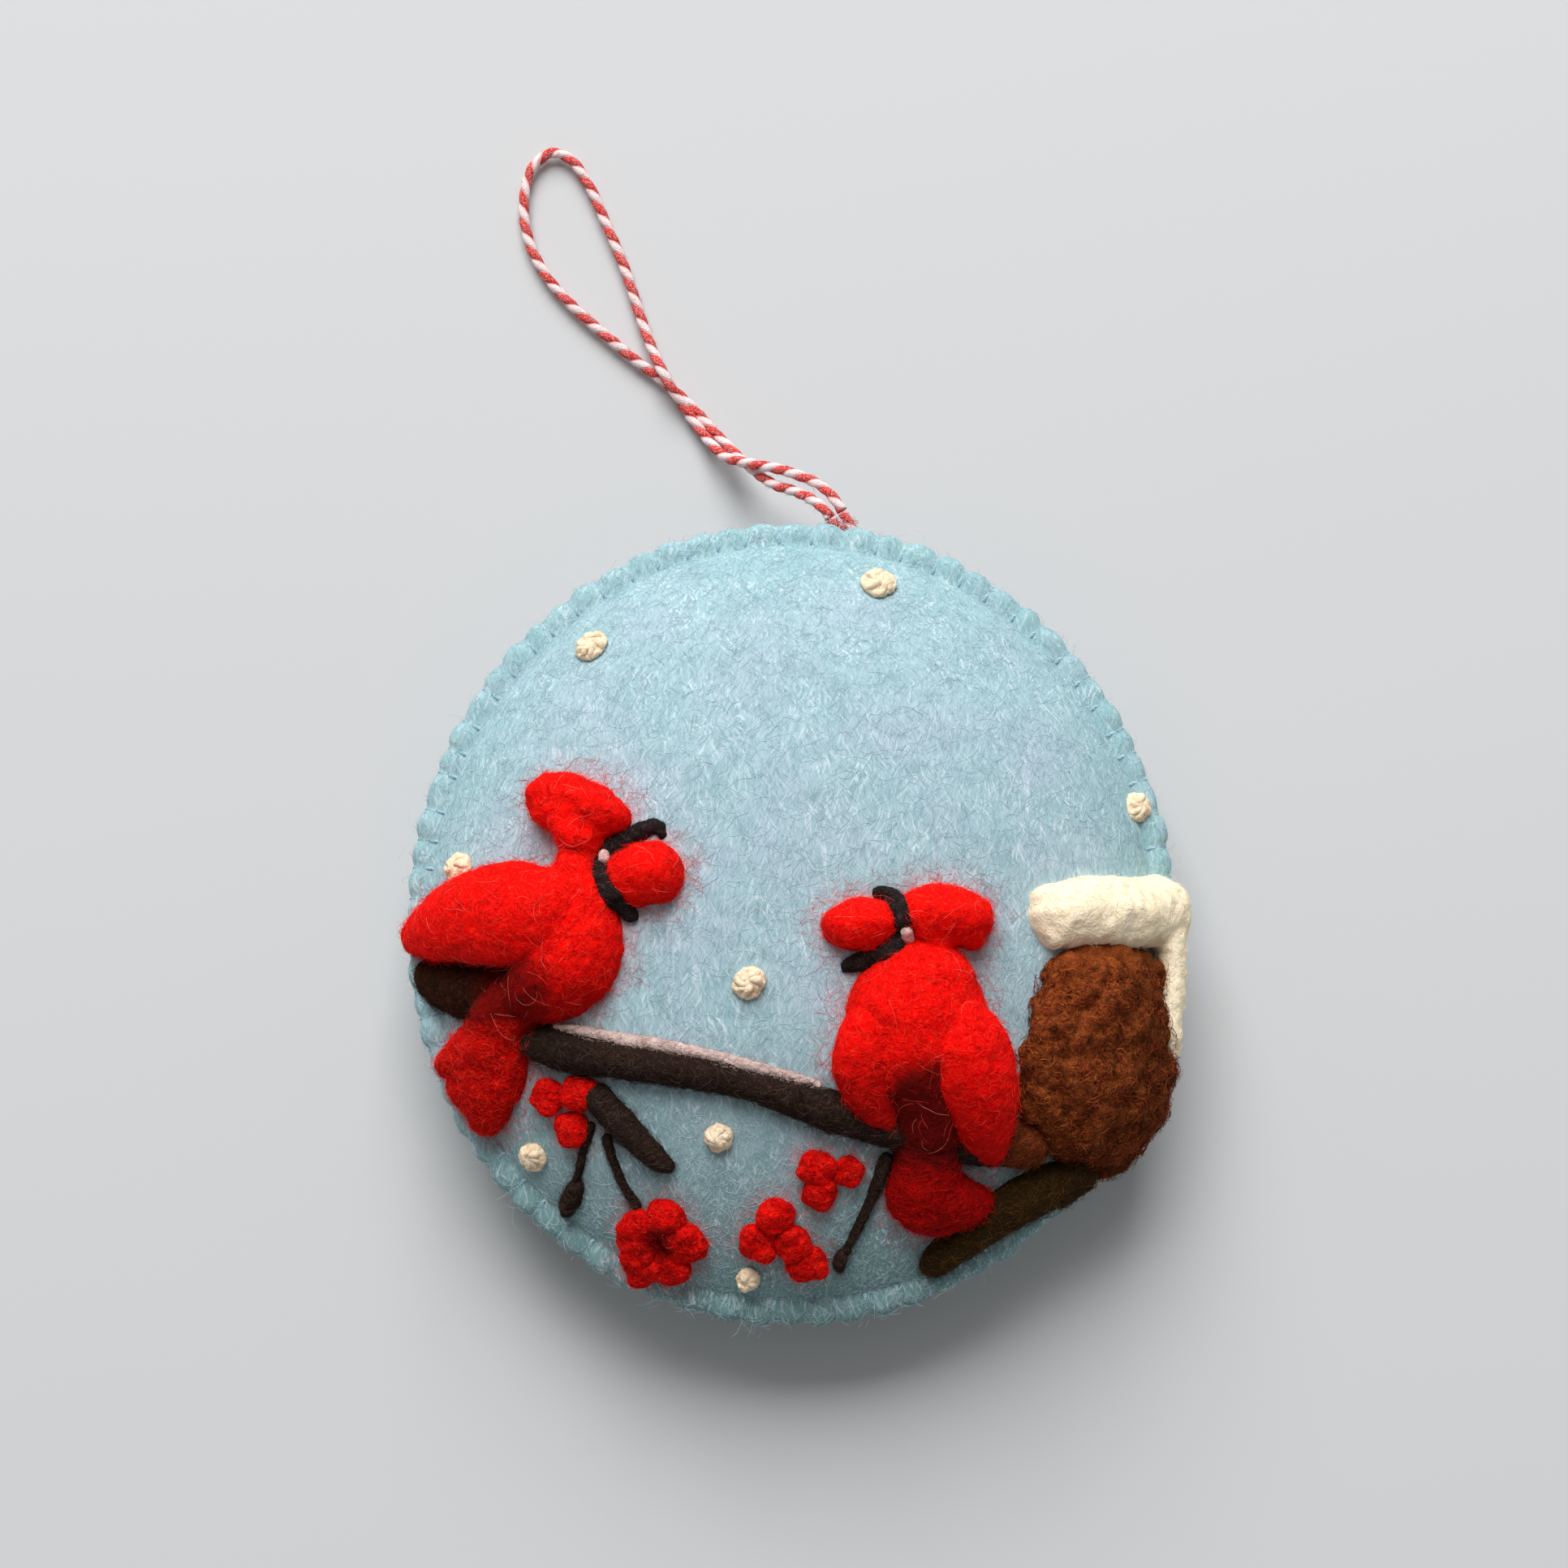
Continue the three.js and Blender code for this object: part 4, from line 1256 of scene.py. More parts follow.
@dataclass
class HangingLoop:
    """The striped twine, doubled into a loop that leaves the top of the seam."""

    disc: Disc
    diameter: float = 1.3
    steps: int = 440
    per_span: int = 16
    sides: int = 18
    route: tuple[tuple[float, float, float], ...] = (
        (5.85, 47.06, 11.15), (5.15, 48.2, 11.05), (3.6, 50.05, 10.5), (1.0, 51.65, 9.2),
        (-1.6, 52.9, 7.5), (-4.5, 53.9, 5.8), (-7.9, 55.6, 2.9), (-10.2, 58.4, 1.2),
        (-12.4, 61.6, 0.9), (-14.9, 65.3, 2.35), (-16.6, 69.2, 1.2), (-18.1, 73.5, 0.72),
        (-19.9, 79.1, 0.72), (-22.4, 85.2, 0.72), (-24.4, 89.7, 0.72), (-26.6, 92.8, 0.72),
        (-28.9, 93.6, 0.72), (-31.1, 91.8, 0.72), (-32.1, 88.0, 0.72), (-31.6, 83.0, 0.72),
        (-29.4, 78.4, 0.72), (-26.2, 74.6, 0.72), (-21.8, 70.6, 0.72), (-18.2, 67.6, 0.72),
        (-15.1, 65.2, 0.72), (-12.0, 62.3, 0.72), (-9.6, 59.6, 0.75), (-7.3, 56.9, 1.6),
        (-4.7, 53.8, 4.1), (-2.0, 51.3, 6.4), (0.3, 50.1, 8.2), (2.4, 48.6, 10.1),
        (3.75, 47.3, 11.05), (4.47, 46.26, 11.15),
    )

    def line(self) -> list[Vector]:
        """The twine's centreline in the row frame, in millimetres."""
        shift = Vector((self.disc.centre.x, self.disc.centre.y, 0))
        points = [Vector(point) + shift for point in self.route]
        return evenly(smooth_route(points, self.per_span), self.steps)

    def build(self) -> Piece:
        """Returns:
            The twine.
        """
        line = self.line()
        bm = bmesh.new()
        Yarn(self.diameter / 2, TWINE.turns, sides=self.sides).wrap(bm, line)
        twine = finished(bm, "loop_twine", TWINE, LOOP_BODY, "hanging_loop_twine")
        length = line_length(line)
        log.info("twine: %.1f mm long", length)
        path = [tuple(point * MM) for point in line]
        self.diameter * MM
        return twine


@dataclass(frozen=True)
class WoolForm:
    """One needled wool form, as strokes of wool over what the photograph shows.

    A stroke is a run of stations: a pixel across, a pixel down, half a width in pixels, and
    where it has one a lift in millimetres over what carries the form.
    """

    node: str
    name: str
    finish: WoolFinish
    slot: str
    rise: float
    strokes: tuple[tuple[tuple[float, ...], ...], ...]
    carriers: tuple[str, ...] = ()
    overlay: bool = False
    voxel: float = 0.33
    smooth: int = 5
    lumps: Lumps = ((0.2, 3.2), (0.16, 1.2), (0.1, 0.5))


@dataclass(frozen=True)
class Dab:
    """One lump of wool before it is needled together: its place, spread and way up."""

    place: Vector
    normal: Vector
    half: float
    rise: float


class WoolRelief:
    """The needled wool on the front felt, laid on piece by piece."""

    sink = 0.12
    shelf = 1.2
    closeness = 0.3
    per_span = 14
    overlay_easing = 5
    flat_slope = 0.05
    least_facing = 0.75

    def __init__(self, disc: Disc, camera: PhotoCamera, felt: Piece) -> None:
        """Starts from the bare felt."""
        self.disc = disc
        self.camera = camera
        self.eye = camera.eye(disc)
        self.felt = tree_of(felt)
        self.trees: dict[str, BVHTree] = {}
        self.pieces: dict[str, Piece] = {}

    def half_width(self, place: Vector, half_px: float) -> float:
        """What half a width in pixels comes to at a place, in millimetres."""
        away = (place - self.eye).dot(self.camera.ahead)
        return half_px * self.camera.pixel_size * away / self.camera.distance

    def _onto(self, form: WoolForm, station: Vector) -> tuple[Vector, Vector]:
        """The place and facing on a form's carriers that a pixel shows."""
        across, down = station.x, station.y
        if form.overlay:
            look = self.camera.direction(across, down).normalized()
            hits = [self.trees[name].ray_cast(self.eye, look) for name in form.carriers]
            hits = [hit for hit in hits if hit[0] is not None]
            if hits:
                nearest = min(hits, key=lambda hit: hit[3])
                facing = (nearest[1] + self.disc.front_normal(*nearest[0].xy)) / 2
                return nearest[0] + facing * station.w, facing
        place = self.disc.seen_at(self.camera, across, down, station.w)
        return place, self.disc.front_normal(place.x, place.y)

    def dabs(self, form: WoolForm) -> list[Dab]:
        """All the dabs of wool that make a form.

        Args:
            form: what is made.

        Returns:
            The dabs, close enough to melt together.
        """
        widest = max(station[2] for stroke in form.strokes for station in stroke)
        made = []
        for stroke in form.strokes:
            route = [Vector((*station, 0.0)[:4]) for station in stroke]
            line = smooth_route(route, self.per_span) if len(route) > 1 else route
            kept: list[Vector] = []
            for spot in line:
                if not kept or (spot.xy - kept[-1].xy).length >= self.closeness * spot.z:
                    kept.append(spot)
            laid = [self._onto(form, spot) for spot in kept]
            places = [place for place, _ in laid]
            facings = [facing for _, facing in laid]
            for _ in range(self.overlay_easing if form.overlay else 0):
                places = self._eased(places)
                facings = self._eased(facings)
            for spot, place, facing in zip(kept, places, facings):
                half = self.half_width(place, spot.z)
                rise = form.rise * math.sqrt(spot.z / widest)
                made.append(Dab(place, facing.normalized(), half, rise))
        return made

    @staticmethod
    def _eased(line: list[Vector]) -> list[Vector]:
        """A line with each inner point moved halfway to the middle of its neighbours."""
        inner = [
            (before + 2 * here + after) / 4
            for before, here, after in zip(line, line[1:], line[2:])
        ]
        return [line[0], *inner, line[-1]] if len(line) > 2 else line

    def _lay(self, bm: Shape, dab: Dab) -> None:
        """Adds one dab, spread a little where the felt slopes away from the camera."""
        view = (self.eye - dab.place).normalized()
        slope = view - dab.normal * view.dot(dab.normal)
        if slope.length < self.flat_slope:
            slope = dab.normal.orthogonal()
        slope.normalize()
        level = dab.normal.cross(slope)
        spread = dab.half / max(view.dot(dab.normal), self.least_facing)
        ball(bm, dab.place, (slope * spread, level * dab.half, dab.normal * dab.rise))

    def _ground(self, form: WoolForm, spot: Vector) -> float:
        """The height of what carries a form under a spot."""
        heights = [self.disc.centre.z - self.shelf]
        for tree in (self.felt, *(self.trees[name] for name in form.carriers)):
            hit = dropped(tree, spot)
            if hit is not None:
                heights.append(hit.z)
        return max(heights)

    def add(self, form: WoolForm) -> Piece:
        """Makes a form: lays its dabs, melts them together, and beds them on the carriers.

        Args:
            form: what is made.

        Returns:
            The finished piece.
        """
        bm = bmesh.new()
        for dab in self.dabs(form):
            self._lay(bm, dab)
        bm = melted(bm, form.voxel, form.smooth)
        lumpy(bm, form.lumps)
        for vertex in bm.verts:
            vertex.co.z = max(vertex.co.z, self._ground(form, vertex.co) - self.sink)
        piece = finished(bm, form.name, form.finish, node=form.node)
        self.pieces[form.name] = piece
        self.trees[form.name] = tree_of(piece)
        return piece


def melted(bm: Shape, voxel: float, smooth: int) -> Shape:
    """Melts overlapping shapes into one skin.

    Args:
        bm: closed shapes, which are freed.
        voxel: the size of the new skin's faces.
        smooth: how often the skin is smoothed.

    Returns:
        The skin.
    """
    mesh = bpy.data.meshes.new("loose_dabs")
    bm.to_mesh(mesh)
    bm.free()
    rough = bpy.data.objects.new("loose_dabs", mesh)
    bpy.context.scene.collection.objects.link(rough)
    remesh = rough.modifiers.new("melt", "REMESH")
    remesh.mode = "VOXEL"
    remesh.voxel_size = voxel
    skin = bmesh.new()
    skin.from_object(rough, bpy.context.evaluated_depsgraph_get())
    bpy.data.objects.remove(rough)
    bpy.data.meshes.remove(mesh)
    for _ in range(smooth):
        bmesh.ops.smooth_vert(
            skin, verts=skin.verts, factor=0.5, use_axis_x=True, use_axis_y=True, use_axis_z=True
        )
    return skin


def lumpy(bm: Shape, lumps: Lumps) -> None:
    """Pushes a skin in and out in lumps."""
    bm.normal_update()
    for vertex in bm.verts:
        vertex.co += vertex.normal * push_at(vertex.co, lumps)


TRUNK_LUMPS = ((0.8, 3.0), (0.5, 1.3), (0.16, 0.5))
MASK_LUMPS = ((0.16, 1.1), (0.08, 0.5))
SMALL_LUMPS = ((0.1, 1.2), (0.04, 0.5))

WOOL_FORMS = (
    WoolForm(
        "trunk_snow", "snow_cap", CREAM, "cream_wool", 4.4,
        (((1290, 1124, 24), (1316, 1127, 42), (1352, 1127, 46), (1395, 1127, 45),
          (1420, 1124, 42), (1438, 1108, 26)),
         ((1436, 1128, 25), (1440, 1168, 21), (1441, 1208, 19), (1441, 1250, 17),
          (1440, 1288, 14), (1443, 1302, 9)),
         ((1282, 1108, 15), (1300, 1100, 14), (1340, 1092, 12), (1390, 1092, 12),
          (1430, 1088, 12)),
         ((1284, 1140, 13), (1296, 1156, 15))),
        lumps=((0.42, 3.4), (0.2, 1.3), (0.07, 0.5)),
    ),
    WoolForm(
        "trunk_wool", "tree_trunk", TRUNK, "trunk_wool_brown", 5.6,
        (((1357, 1214, 56), (1357, 1245, 72), (1354, 1285, 83), (1351, 1328, 90),
          (1344, 1366, 76), (1347, 1402, 42)),
         ((1308, 1194, 21), (1299, 1225, 20), (1290, 1262, 21), (1280, 1305, 22),
          (1272, 1345, 18), (1271, 1372, 17)),
         ((1326, 1190, 17), (1370, 1190, 18), (1402, 1190, 20), (1412, 1220, 19),
          (1416, 1260, 18)),
         ((1426, 1316, 18), (1426, 1344, 18))),
        carriers=("snow_cap",), lumps=TRUNK_LUMPS, smooth=3,
    ),
    WoolForm(
        "main_branch", "main_branch_wool", MAIN_BRANCH, "branch_wool", 2.8,
        (((662, 1284, 20), (684, 1288, 27), (712, 1296, 27), (766, 1307, 23), (855, 1320, 22),
          (913, 1332, 21), (972, 1350, 23), (1030, 1370, 26), (1075, 1382, 27), (1130, 1396, 26),
          (1200, 1408, 27), (1265, 1408, 28)),),
        lumps=((0.2, 2.4), (0.08, 0.8)), voxel=0.26,
    ),
    WoolForm(
        "lower_branch", "lower_branch_wool", LOWER_BRANCH, "branch_wool", 2.6,
        (((1322, 1446, 30), (1290, 1460, 29), (1248, 1482, 26), (1200, 1514, 23),
          (1160, 1545, 19), (1142, 1560, 12)),),
        lumps=((0.2, 2.4), (0.08, 0.8)), voxel=0.26,
    ),
    WoolForm(
        "left_bird_body", "left_body_wool", LEFT_BODY_RED, "red_wool", 6.2,
        (((718, 1056, 26), (714, 1085, 34), (716, 1115, 45), (711, 1150, 56), (700, 1183, 62),
          (682, 1208, 52), (662, 1226, 36), (640, 1236, 24)),
         ((700, 1218, 30), (680, 1232, 24)),
         ((744, 1150, 20), (746, 1178, 17))),
        carriers=("main_branch_wool",),
    ),
    WoolForm(
        "left_bird_tail", "left_tail_wool", TAIL_RED, "red_wool", 4.6,
        (((650, 1226, 34), (630, 1246, 40), (614, 1278, 38), (606, 1312, 37), (608, 1342, 31),
          (610, 1368, 22), (609, 1384, 14)),
         ((600, 1280, 31), (582, 1298, 27), (571, 1308, 22)),
         ((585, 1332, 23), (594, 1354, 19)),
         ((632, 1286, 20), (634, 1322, 17), (628, 1350, 15))),
        carriers=("main_branch_wool",), lumps=((0.5, 3.4), (0.26, 1.2), (0.1, 0.5)),
    ),
    WoolForm(
        "left_bird_flight_feathers", "left_flight_feathers_wool", DARK_FEATHER,
        "dark_feather_wool", 2.2,
        (((524, 1196, 14), (545, 1212, 28), (575, 1222, 34), (612, 1222, 32), (650, 1215, 24)),),
        carriers=("left_body_wool", "left_tail_wool"),
    ),
    WoolForm(
        "left_bird_wing", "left_wing_wool", RED, "red_wool", 4.2,
        (((508, 1163, 13, 0.3), (522, 1156, 25, 0.6), (540, 1148, 37, 1.1), (562, 1140, 47, 1.7),
          (595, 1130, 58, 2.5), (632, 1125, 65, 3.4), (656, 1120, 56, 3.7), (680, 1106, 38, 3.2)),),
        carriers=("left_body_wool", "left_flight_feathers_wool"),
    ),
    WoolForm(
        "left_bird_head", "left_head_wool", RED, "red_wool", 5.2,
        (((675, 993, 21), (686, 987, 27), (706, 986, 30), (724, 994, 32), (744, 1005, 28),
          (760, 1013, 19)),
         ((681, 1006, 21), (702, 1006, 30)),
         ((714, 1020, 33), (722, 1046, 28))),
        carriers=("left_body_wool",), lumps=((0.45, 3.0), (0.24, 1.2), (0.1, 0.5)),
    ),
    WoolForm(
        "left_bird_beak", "left_beak_wool", RED, "red_wool", 4.6,
        (((772, 1076, 26), (786, 1076, 34), (802, 1077, 41), (810, 1077, 36)),
         ((772, 1090, 22), (788, 1096, 24))),
        carriers=("left_body_wool", "left_head_wool"),
    ),
    WoolForm(
        "right_bird_body", "right_body_wool", RIGHT_BODY_RED, "red_wool", 6.8,
        (((1165, 1190, 22), (1140, 1215, 60), (1129, 1250, 86), (1131, 1284, 86),
          (1133, 1316, 66), (1138, 1350, 50), (1142, 1386, 42)),),
        carriers=("main_branch_wool",),
    ),
    WoolForm(
        "right_bird_tail", "right_tail_wool", RIGHT_TAIL_SHADED_RED, "red_wool", 4.0,
        (((1140, 1402, 41), (1140, 1432, 43), (1136, 1462, 42), (1136, 1484, 36)),
         ((1150, 1470, 38), (1176, 1477, 33), (1198, 1477, 21), (1210, 1475, 12)),
         ((1104, 1466, 13), (1107, 1490, 14)),
         ((1150, 1494, 25), (1165, 1496, 18))),
        carriers=("right_body_wool", "main_branch_wool"),
    ),
    WoolForm(
        "right_bird_far_wing", "right_far_wing_wool", FAR_WING_RED, "red_wool", 3.4,
        (((1078, 1276, 44, 2.2), (1064, 1312, 40, 2.1), (1070, 1348, 31, 1.7),
          (1086, 1374, 22, 1.1), (1097, 1390, 12, 0.5)),),
        carriers=("right_body_wool", "main_branch_wool", "right_tail_wool"),
    ),
    WoolForm(
        "right_bird_near_wing", "right_near_wing_wool", NEAR_WING_RED, "red_wool", 3.8,
        (((1180, 1262, 40, 3.4), (1190, 1300, 57, 3.7), (1204, 1342, 50, 3.2),
          (1210, 1378, 40, 2.3), (1215, 1408, 25, 1.3), (1222, 1426, 11, 0.5)),),
        carriers=("right_body_wool", "main_branch_wool", "right_tail_wool"),
    ),
    WoolForm(
        "right_bird_head", "right_head_wool", RED, "red_wool", 5.2,
        (((1126, 1126, 26), (1150, 1128, 40), (1178, 1132, 36), (1196, 1134, 26)),
         ((1190, 1120, 20), (1212, 1120, 9)),
         ((1190, 1150, 20), (1196, 1158, 14)),
         ((1150, 1160, 18), (1158, 1172, 16))),
        carriers=("right_body_wool",),
    ),
    WoolForm(
        "right_bird_beak", "right_beak_wool", RED, "red_wool", 4.4,
        (((1038, 1142, 26), (1056, 1139, 33), (1072, 1138, 31), (1084, 1138, 25)),
         ((1084, 1158, 14), (1072, 1164, 12))),
        carriers=("right_body_wool", "right_head_wool"),
    ),
    WoolForm(
        "left_bird_mask", "left_mask_wool", MASK, "mask_wool", 1.3,
        (((815, 1027, 7), (811, 1017, 9), (797, 1021, 11), (776, 1033, 13), (757, 1045, 15),
          (743, 1058, 16), (740, 1076, 16, 0.2), (747, 1092, 15, 0.5), (758, 1105, 14, 0.7),
          (769, 1117, 12, 0.6), (778, 1128, 9, 0.3)),),
        carriers=("left_body_wool", "left_head_wool", "left_beak_wool"), overlay=True, voxel=0.18,
        smooth=2, lumps=MASK_LUMPS,
    ),
    WoolForm(
        "right_bird_mask", "right_mask_wool", MASK, "mask_wool", 1.2,
        (((1082, 1099, 8), (1093, 1102, 11), (1106, 1114, 14), (1114, 1134, 15), (1113, 1153, 15),
          (1103, 1168, 15, 0.2), (1082, 1177, 15, 0.4), (1062, 1184, 13, 0.2), (1044, 1190, 9)),),
        carriers=("right_body_wool", "right_head_wool", "right_beak_wool"), overlay=True,
        voxel=0.18, smooth=2, lumps=MASK_LUMPS,
    ),
    WoolForm(
        "left_bird_eye", "left_eye_knot", EYE_GLINT, "eye_thread", 0.7,
        (((744, 1054, 7), (744, 1059, 7)),),
        carriers=("left_body_wool", "left_head_wool", "left_mask_wool"), overlay=True, voxel=0.1,
        smooth=1, lumps=((0.06, 0.5),),
    ),
    WoolForm(
        "right_bird_eye", "right_eye_knot", EYE_GLINT, "eye_thread", 0.7,
        (((1117, 1148, 8), (1119, 1157, 8)),),
        carriers=("right_body_wool", "right_head_wool", "right_mask_wool"), overlay=True,
        voxel=0.1, smooth=1, lumps=((0.06, 0.5),),
    ),
    WoolForm(
        "branch_snow", "branch_frost_wool", FROST, "frost_wool", 0.95,
        (((684, 1266, 3), (704, 1269, 6), (735, 1276, 9), (766, 1282, 10), (810, 1288, 10),
          (855, 1297, 9), (913, 1312, 8), (960, 1324, 7), (1008, 1338, 5)),),
        carriers=("main_branch_wool",), overlay=True, voxel=0.14, smooth=1, lumps=SMALL_LUMPS,
    ),
    WoolForm(
        "twig_stub", "twig_stub_wool", BRANCH, "branch_wool", 2.2,
        (((738, 1352, 18), (760, 1376, 18), (786, 1404, 16), (811, 1427, 13), (824, 1437, 9)),),
        carriers=("main_branch_wool",), voxel=0.22, lumps=((0.16, 2.0), (0.06, 0.7)),
    ),
    WoolForm(
        "left_bud_twig", "left_bud_twig_wool", BRANCH, "branch_wool", 0.9,
        (((728, 1388, 6), (719, 1420, 5), (711, 1455, 5)),),
        carriers=("twig_stub_wool",), voxel=0.14, smooth=2, lumps=SMALL_LUMPS,
    ),
    WoolForm(
        "berry_stem", "berry_stem_wool", BRANCH, "branch_wool", 0.9,
        (((748, 1402, 6), (757, 1432, 5), (769, 1460, 5), (786, 1486, 5)),),
        carriers=("twig_stub_wool",), voxel=0.14, smooth=2, lumps=SMALL_LUMPS,
    ),
    WoolForm(
        "right_bud_twig", "right_bud_twig_wool", BRANCH, "branch_wool", 1.1,
        (((1092, 1428, 9), (1078, 1465, 7), (1060, 1505, 6), (1042, 1540, 5)),),
        carriers=("main_branch_wool", "right_tail_wool"), voxel=0.16, smooth=2, lumps=SMALL_LUMPS,
    ),
    WoolForm(
        "left_bud", "left_bud_wool", BRANCH, "branch_wool", 1.6,
        (((710, 1462, 10), (704, 1478, 13), (701, 1489, 9)),),
        carriers=("left_bud_twig_wool",), voxel=0.18, smooth=2, lumps=SMALL_LUMPS,
    ),
    WoolForm(
        "right_bud", "right_bud_wool", BRANCH, "branch_wool", 1.6,
        (((1037, 1545, 7), (1033, 1557, 8)),),
        carriers=("right_bud_twig_wool",), voxel=0.18, smooth=2, lumps=SMALL_LUMPS,
    ),
)


@dataclass
class BerryBunch:
    """Little red balls of wool, each a few soft lumps that the needle has packed together."""

    relief: WoolRelief
    lobes: int = 4
    ring: tuple[int, ...] = (4, 5, 6, 7, 8, 9)
    ring_middle: tuple[float, float] = (812, 1532)
    seed: int = 5
    spots: tuple[tuple[float, float, float], ...] = (
        (677, 1350, 25), (716, 1347, 26), (706, 1390, 25),
        (820, 1503, 30), (845, 1531, 30), (826, 1560, 30), (792, 1556, 30),
        (786, 1533, 28), (787, 1511, 26),
        (956, 1498, 26), (934, 1529, 27), (976, 1531, 26), (995, 1556, 27),
        (1006, 1439, 26), (1045, 1443, 21), (1010, 1470, 24),
    )
    rise: float = 0.82
    middle: float = 0.9
    core: float = 0.62
    lump_sizes: tuple[float, float] = (0.42, 0.58)
    lump_rises: tuple[float, float] = (0.05, 0.4)
    unevenness: float = 0.25
    voxel: float = 0.15
    smooth: int = 4
    lumps: Lumps = ((0.2, 1.4), (0.1, 0.6), (0.04, 0.3))
    sink: float = 0.2
    seat: float = 0.3
    ring_lift: float = 1.0
    ring_core: float = 0.7
    ring_reach: float = 2.7

    def build(self) -> list[Piece]:
        """Makes every berry.

        Returns:
            The berries in the order of their solids.
        """
        rng = random.Random(self.seed)
        return [self._berry(number, Vector(spot), rng) for number, spot in enumerate(self.spots, 1)]

    def _berry(self, number: int, spot: Vector, rng: random.Random) -> Piece:
        """One berry: a ball with uneven lumps round it, flat where it meets the felt."""
        disc, camera = self.relief.disc, self.relief.camera
        place = disc.seen_at(camera, spot.x, spot.y, self.seat)
        normal = disc.front_normal(place.x, place.y)
        half = self.relief.half_width(place, spot.z)
        side = normal.orthogonal().normalized()
        over = normal.cross(side)
        bm = bmesh.new()
        self._ball(bm, place, half * self.middle, normal, side)
        turn = rng.uniform(0, math.tau)
        for lobe in range(self.lobes):
            shift = rng.uniform(-self.unevenness, self.unevenness)
            angle = turn + math.tau * (lobe + shift) / self.lobes
            out = side * math.cos(angle) + over * math.sin(angle)
            lump = half * rng.uniform(*self.lump_sizes)
            rise = half * rng.uniform(*self.lump_rises)
            self._ball(bm, place + out * (half - lump) + normal * rise, lump, normal, side)
        if number == self.ring[0]:
            core = disc.seen_at(camera, *self.ring_middle, 0.0)
            self._ball(bm, core, half * self.core, normal, side)
        bm = melted(bm, self.voxel, self.smooth)
        lumpy(bm, self.lumps)
        disc.bed(bm, self.sink)
        finish = BERRY_RED
        # The ring's berries are painted in shade round the ring's sunken middle.
        if number in self.ring:
            middle = tuple(disc.seen_at(camera, *self.ring_middle, self.ring_lift))
            hollow = Hollow(middle, self.ring_core, self.ring_reach, srgb(74, 2, 2))
            finish = replace(BERRY_RED, name="berry_red_wool_ring", hollow=hollow)
        return finished(bm, f"red_berry_{number}", finish, node=f"berry_{number}")

    def _ball(self, bm: Shape, place: Vector, half: float, normal: Vector, side: Vector) -> None:
        """Adds a ball that is a little flatter than round."""
        ball(bm, place, (side * half, normal.cross(side) * half, normal * half * self.rise))


@dataclass
class SnowKnots:
    """Knots of cream thread: a turn round the foot, and folds that dive into the middle."""

    relief: WoolRelief
    ply: float = 0.46
    folds: int = 7
    rise: float = 0.95
    groove: float = 0.16
    core_width: float = 0.88
    core_height: float = 1.46
    unevenness: float = 0.4
    squash: tuple[float, float] = (0.84, 1.0)
    lifts: tuple[float, float] = (0.85, 1.1)
    plies: tuple[float, float] = (0.7, 1.05)
    turn_steps: int = 60
    overlap: int = 6
    ring_steps: int = 90
    fold_steps: int = 26
    lumps: Lumps = ((0.2, 0.9), (0.08, 0.3))
    sink: float = 0.25
    seed: int = 3
    spots: tuple[tuple[float, float, float], ...] = (
        (730, 798, 22), (1082, 721, 23), (1399, 995, 20), (567, 1070, 20),
        (923, 1211, 22), (886, 1401, 19), (658, 1424, 20), (922, 1574, 17),
    )

    def build(self) -> list[Piece]:
        """Makes every knot.

        Returns:
            The knots in the order of their solids.
        """
        rng = random.Random(self.seed)
        return [self._knot(number, Vector(spot), rng) for number, spot in enumerate(self.spots, 1)]

    def _knot(self, number: int, spot: Vector, rng: random.Random) -> Piece:
        """One knot, a little out of round, bedded on the felt."""
        disc, camera = self.relief.disc, self.relief.camera
        place = disc.seen_at(camera, spot.x, spot.y, 0.0)
        normal = disc.front_normal(place.x, place.y)
        half = self.relief.half_width(place, spot.z)
        side = normal.orthogonal().normalized()
        over = normal.cross(side) * rng.uniform(*self.squash)
        start = rng.uniform(0, math.tau)
        bm = bmesh.new()
        height = normal * self.rise * self.core_height
        core = side * half * self.core_width, over * half * self.core_width, height
        ball(bm, place, core, radius=0.98)

        def at(angle: float, share: float, height: float) -> Vector:
            """A point of the knot: its angle, its share of the half width, its height."""
            out = side * math.cos(angle) + over * math.sin(angle)
            return place + out * (half * share) + normal * height

        foot = 1 - self.ply / half
        ring = [
            at(start + math.tau * k / self.turn_steps, foot, self.ply * 0.7)
            for k in range(self.turn_steps + self.overlap)
        ]
        yarn = Yarn(self.ply, 5.0, sides=10, groove=self.groove)
        yarn.wrap(bm, evenly(ring, self.ring_steps))
        for fold in range(self.folds):
            shift = rng.uniform(-self.unevenness, self.unevenness)
            angle = start + math.tau * (fold + shift) / self.folds
            lift = self.rise * rng.uniform(*self.lifts)
            spots = [
                at(angle, foot, 0.1),
                at(angle + 0.1, foot * 0.98, lift * 0.6),
                at(angle + 0.32, foot * 0.72, lift),
                at(angle + 0.75, foot * 0.38, lift * 1.05),
                at(angle + 1.3, 0.1, lift * 0.6),
            ]
            ply = self.ply * rng.uniform(*self.plies)
            yarn = Yarn(ply, 1.5, sides=10, groove=self.groove)
            yarn.wrap(bm, evenly(smooth_route(spots, 6), self.fold_steps))
        lumpy(bm, self.lumps)
        disc.bed(bm, self.sink)
        return finished(
            bm, f"french_knot_{number}", SNOW_KNOT, node=f"snow_knot_{number}"
        )


@dataclass(frozen=True)
class Fuzz:
    """Loose fibres: how many, how long, how far they arch off, and how much they curl."""

    finishes: tuple[FibreFinish, ...]
    count: int
    shortest: float = 1.2
    longest: float = 3.6
    lift: float = 0.25
    radius: float = 0.026
    curl: float = 0.5
    points: int = 4
    stray: float = 0.12
    stand: float = 0.9
    spread: float = math.pi
    ceiling: float = 1000.0


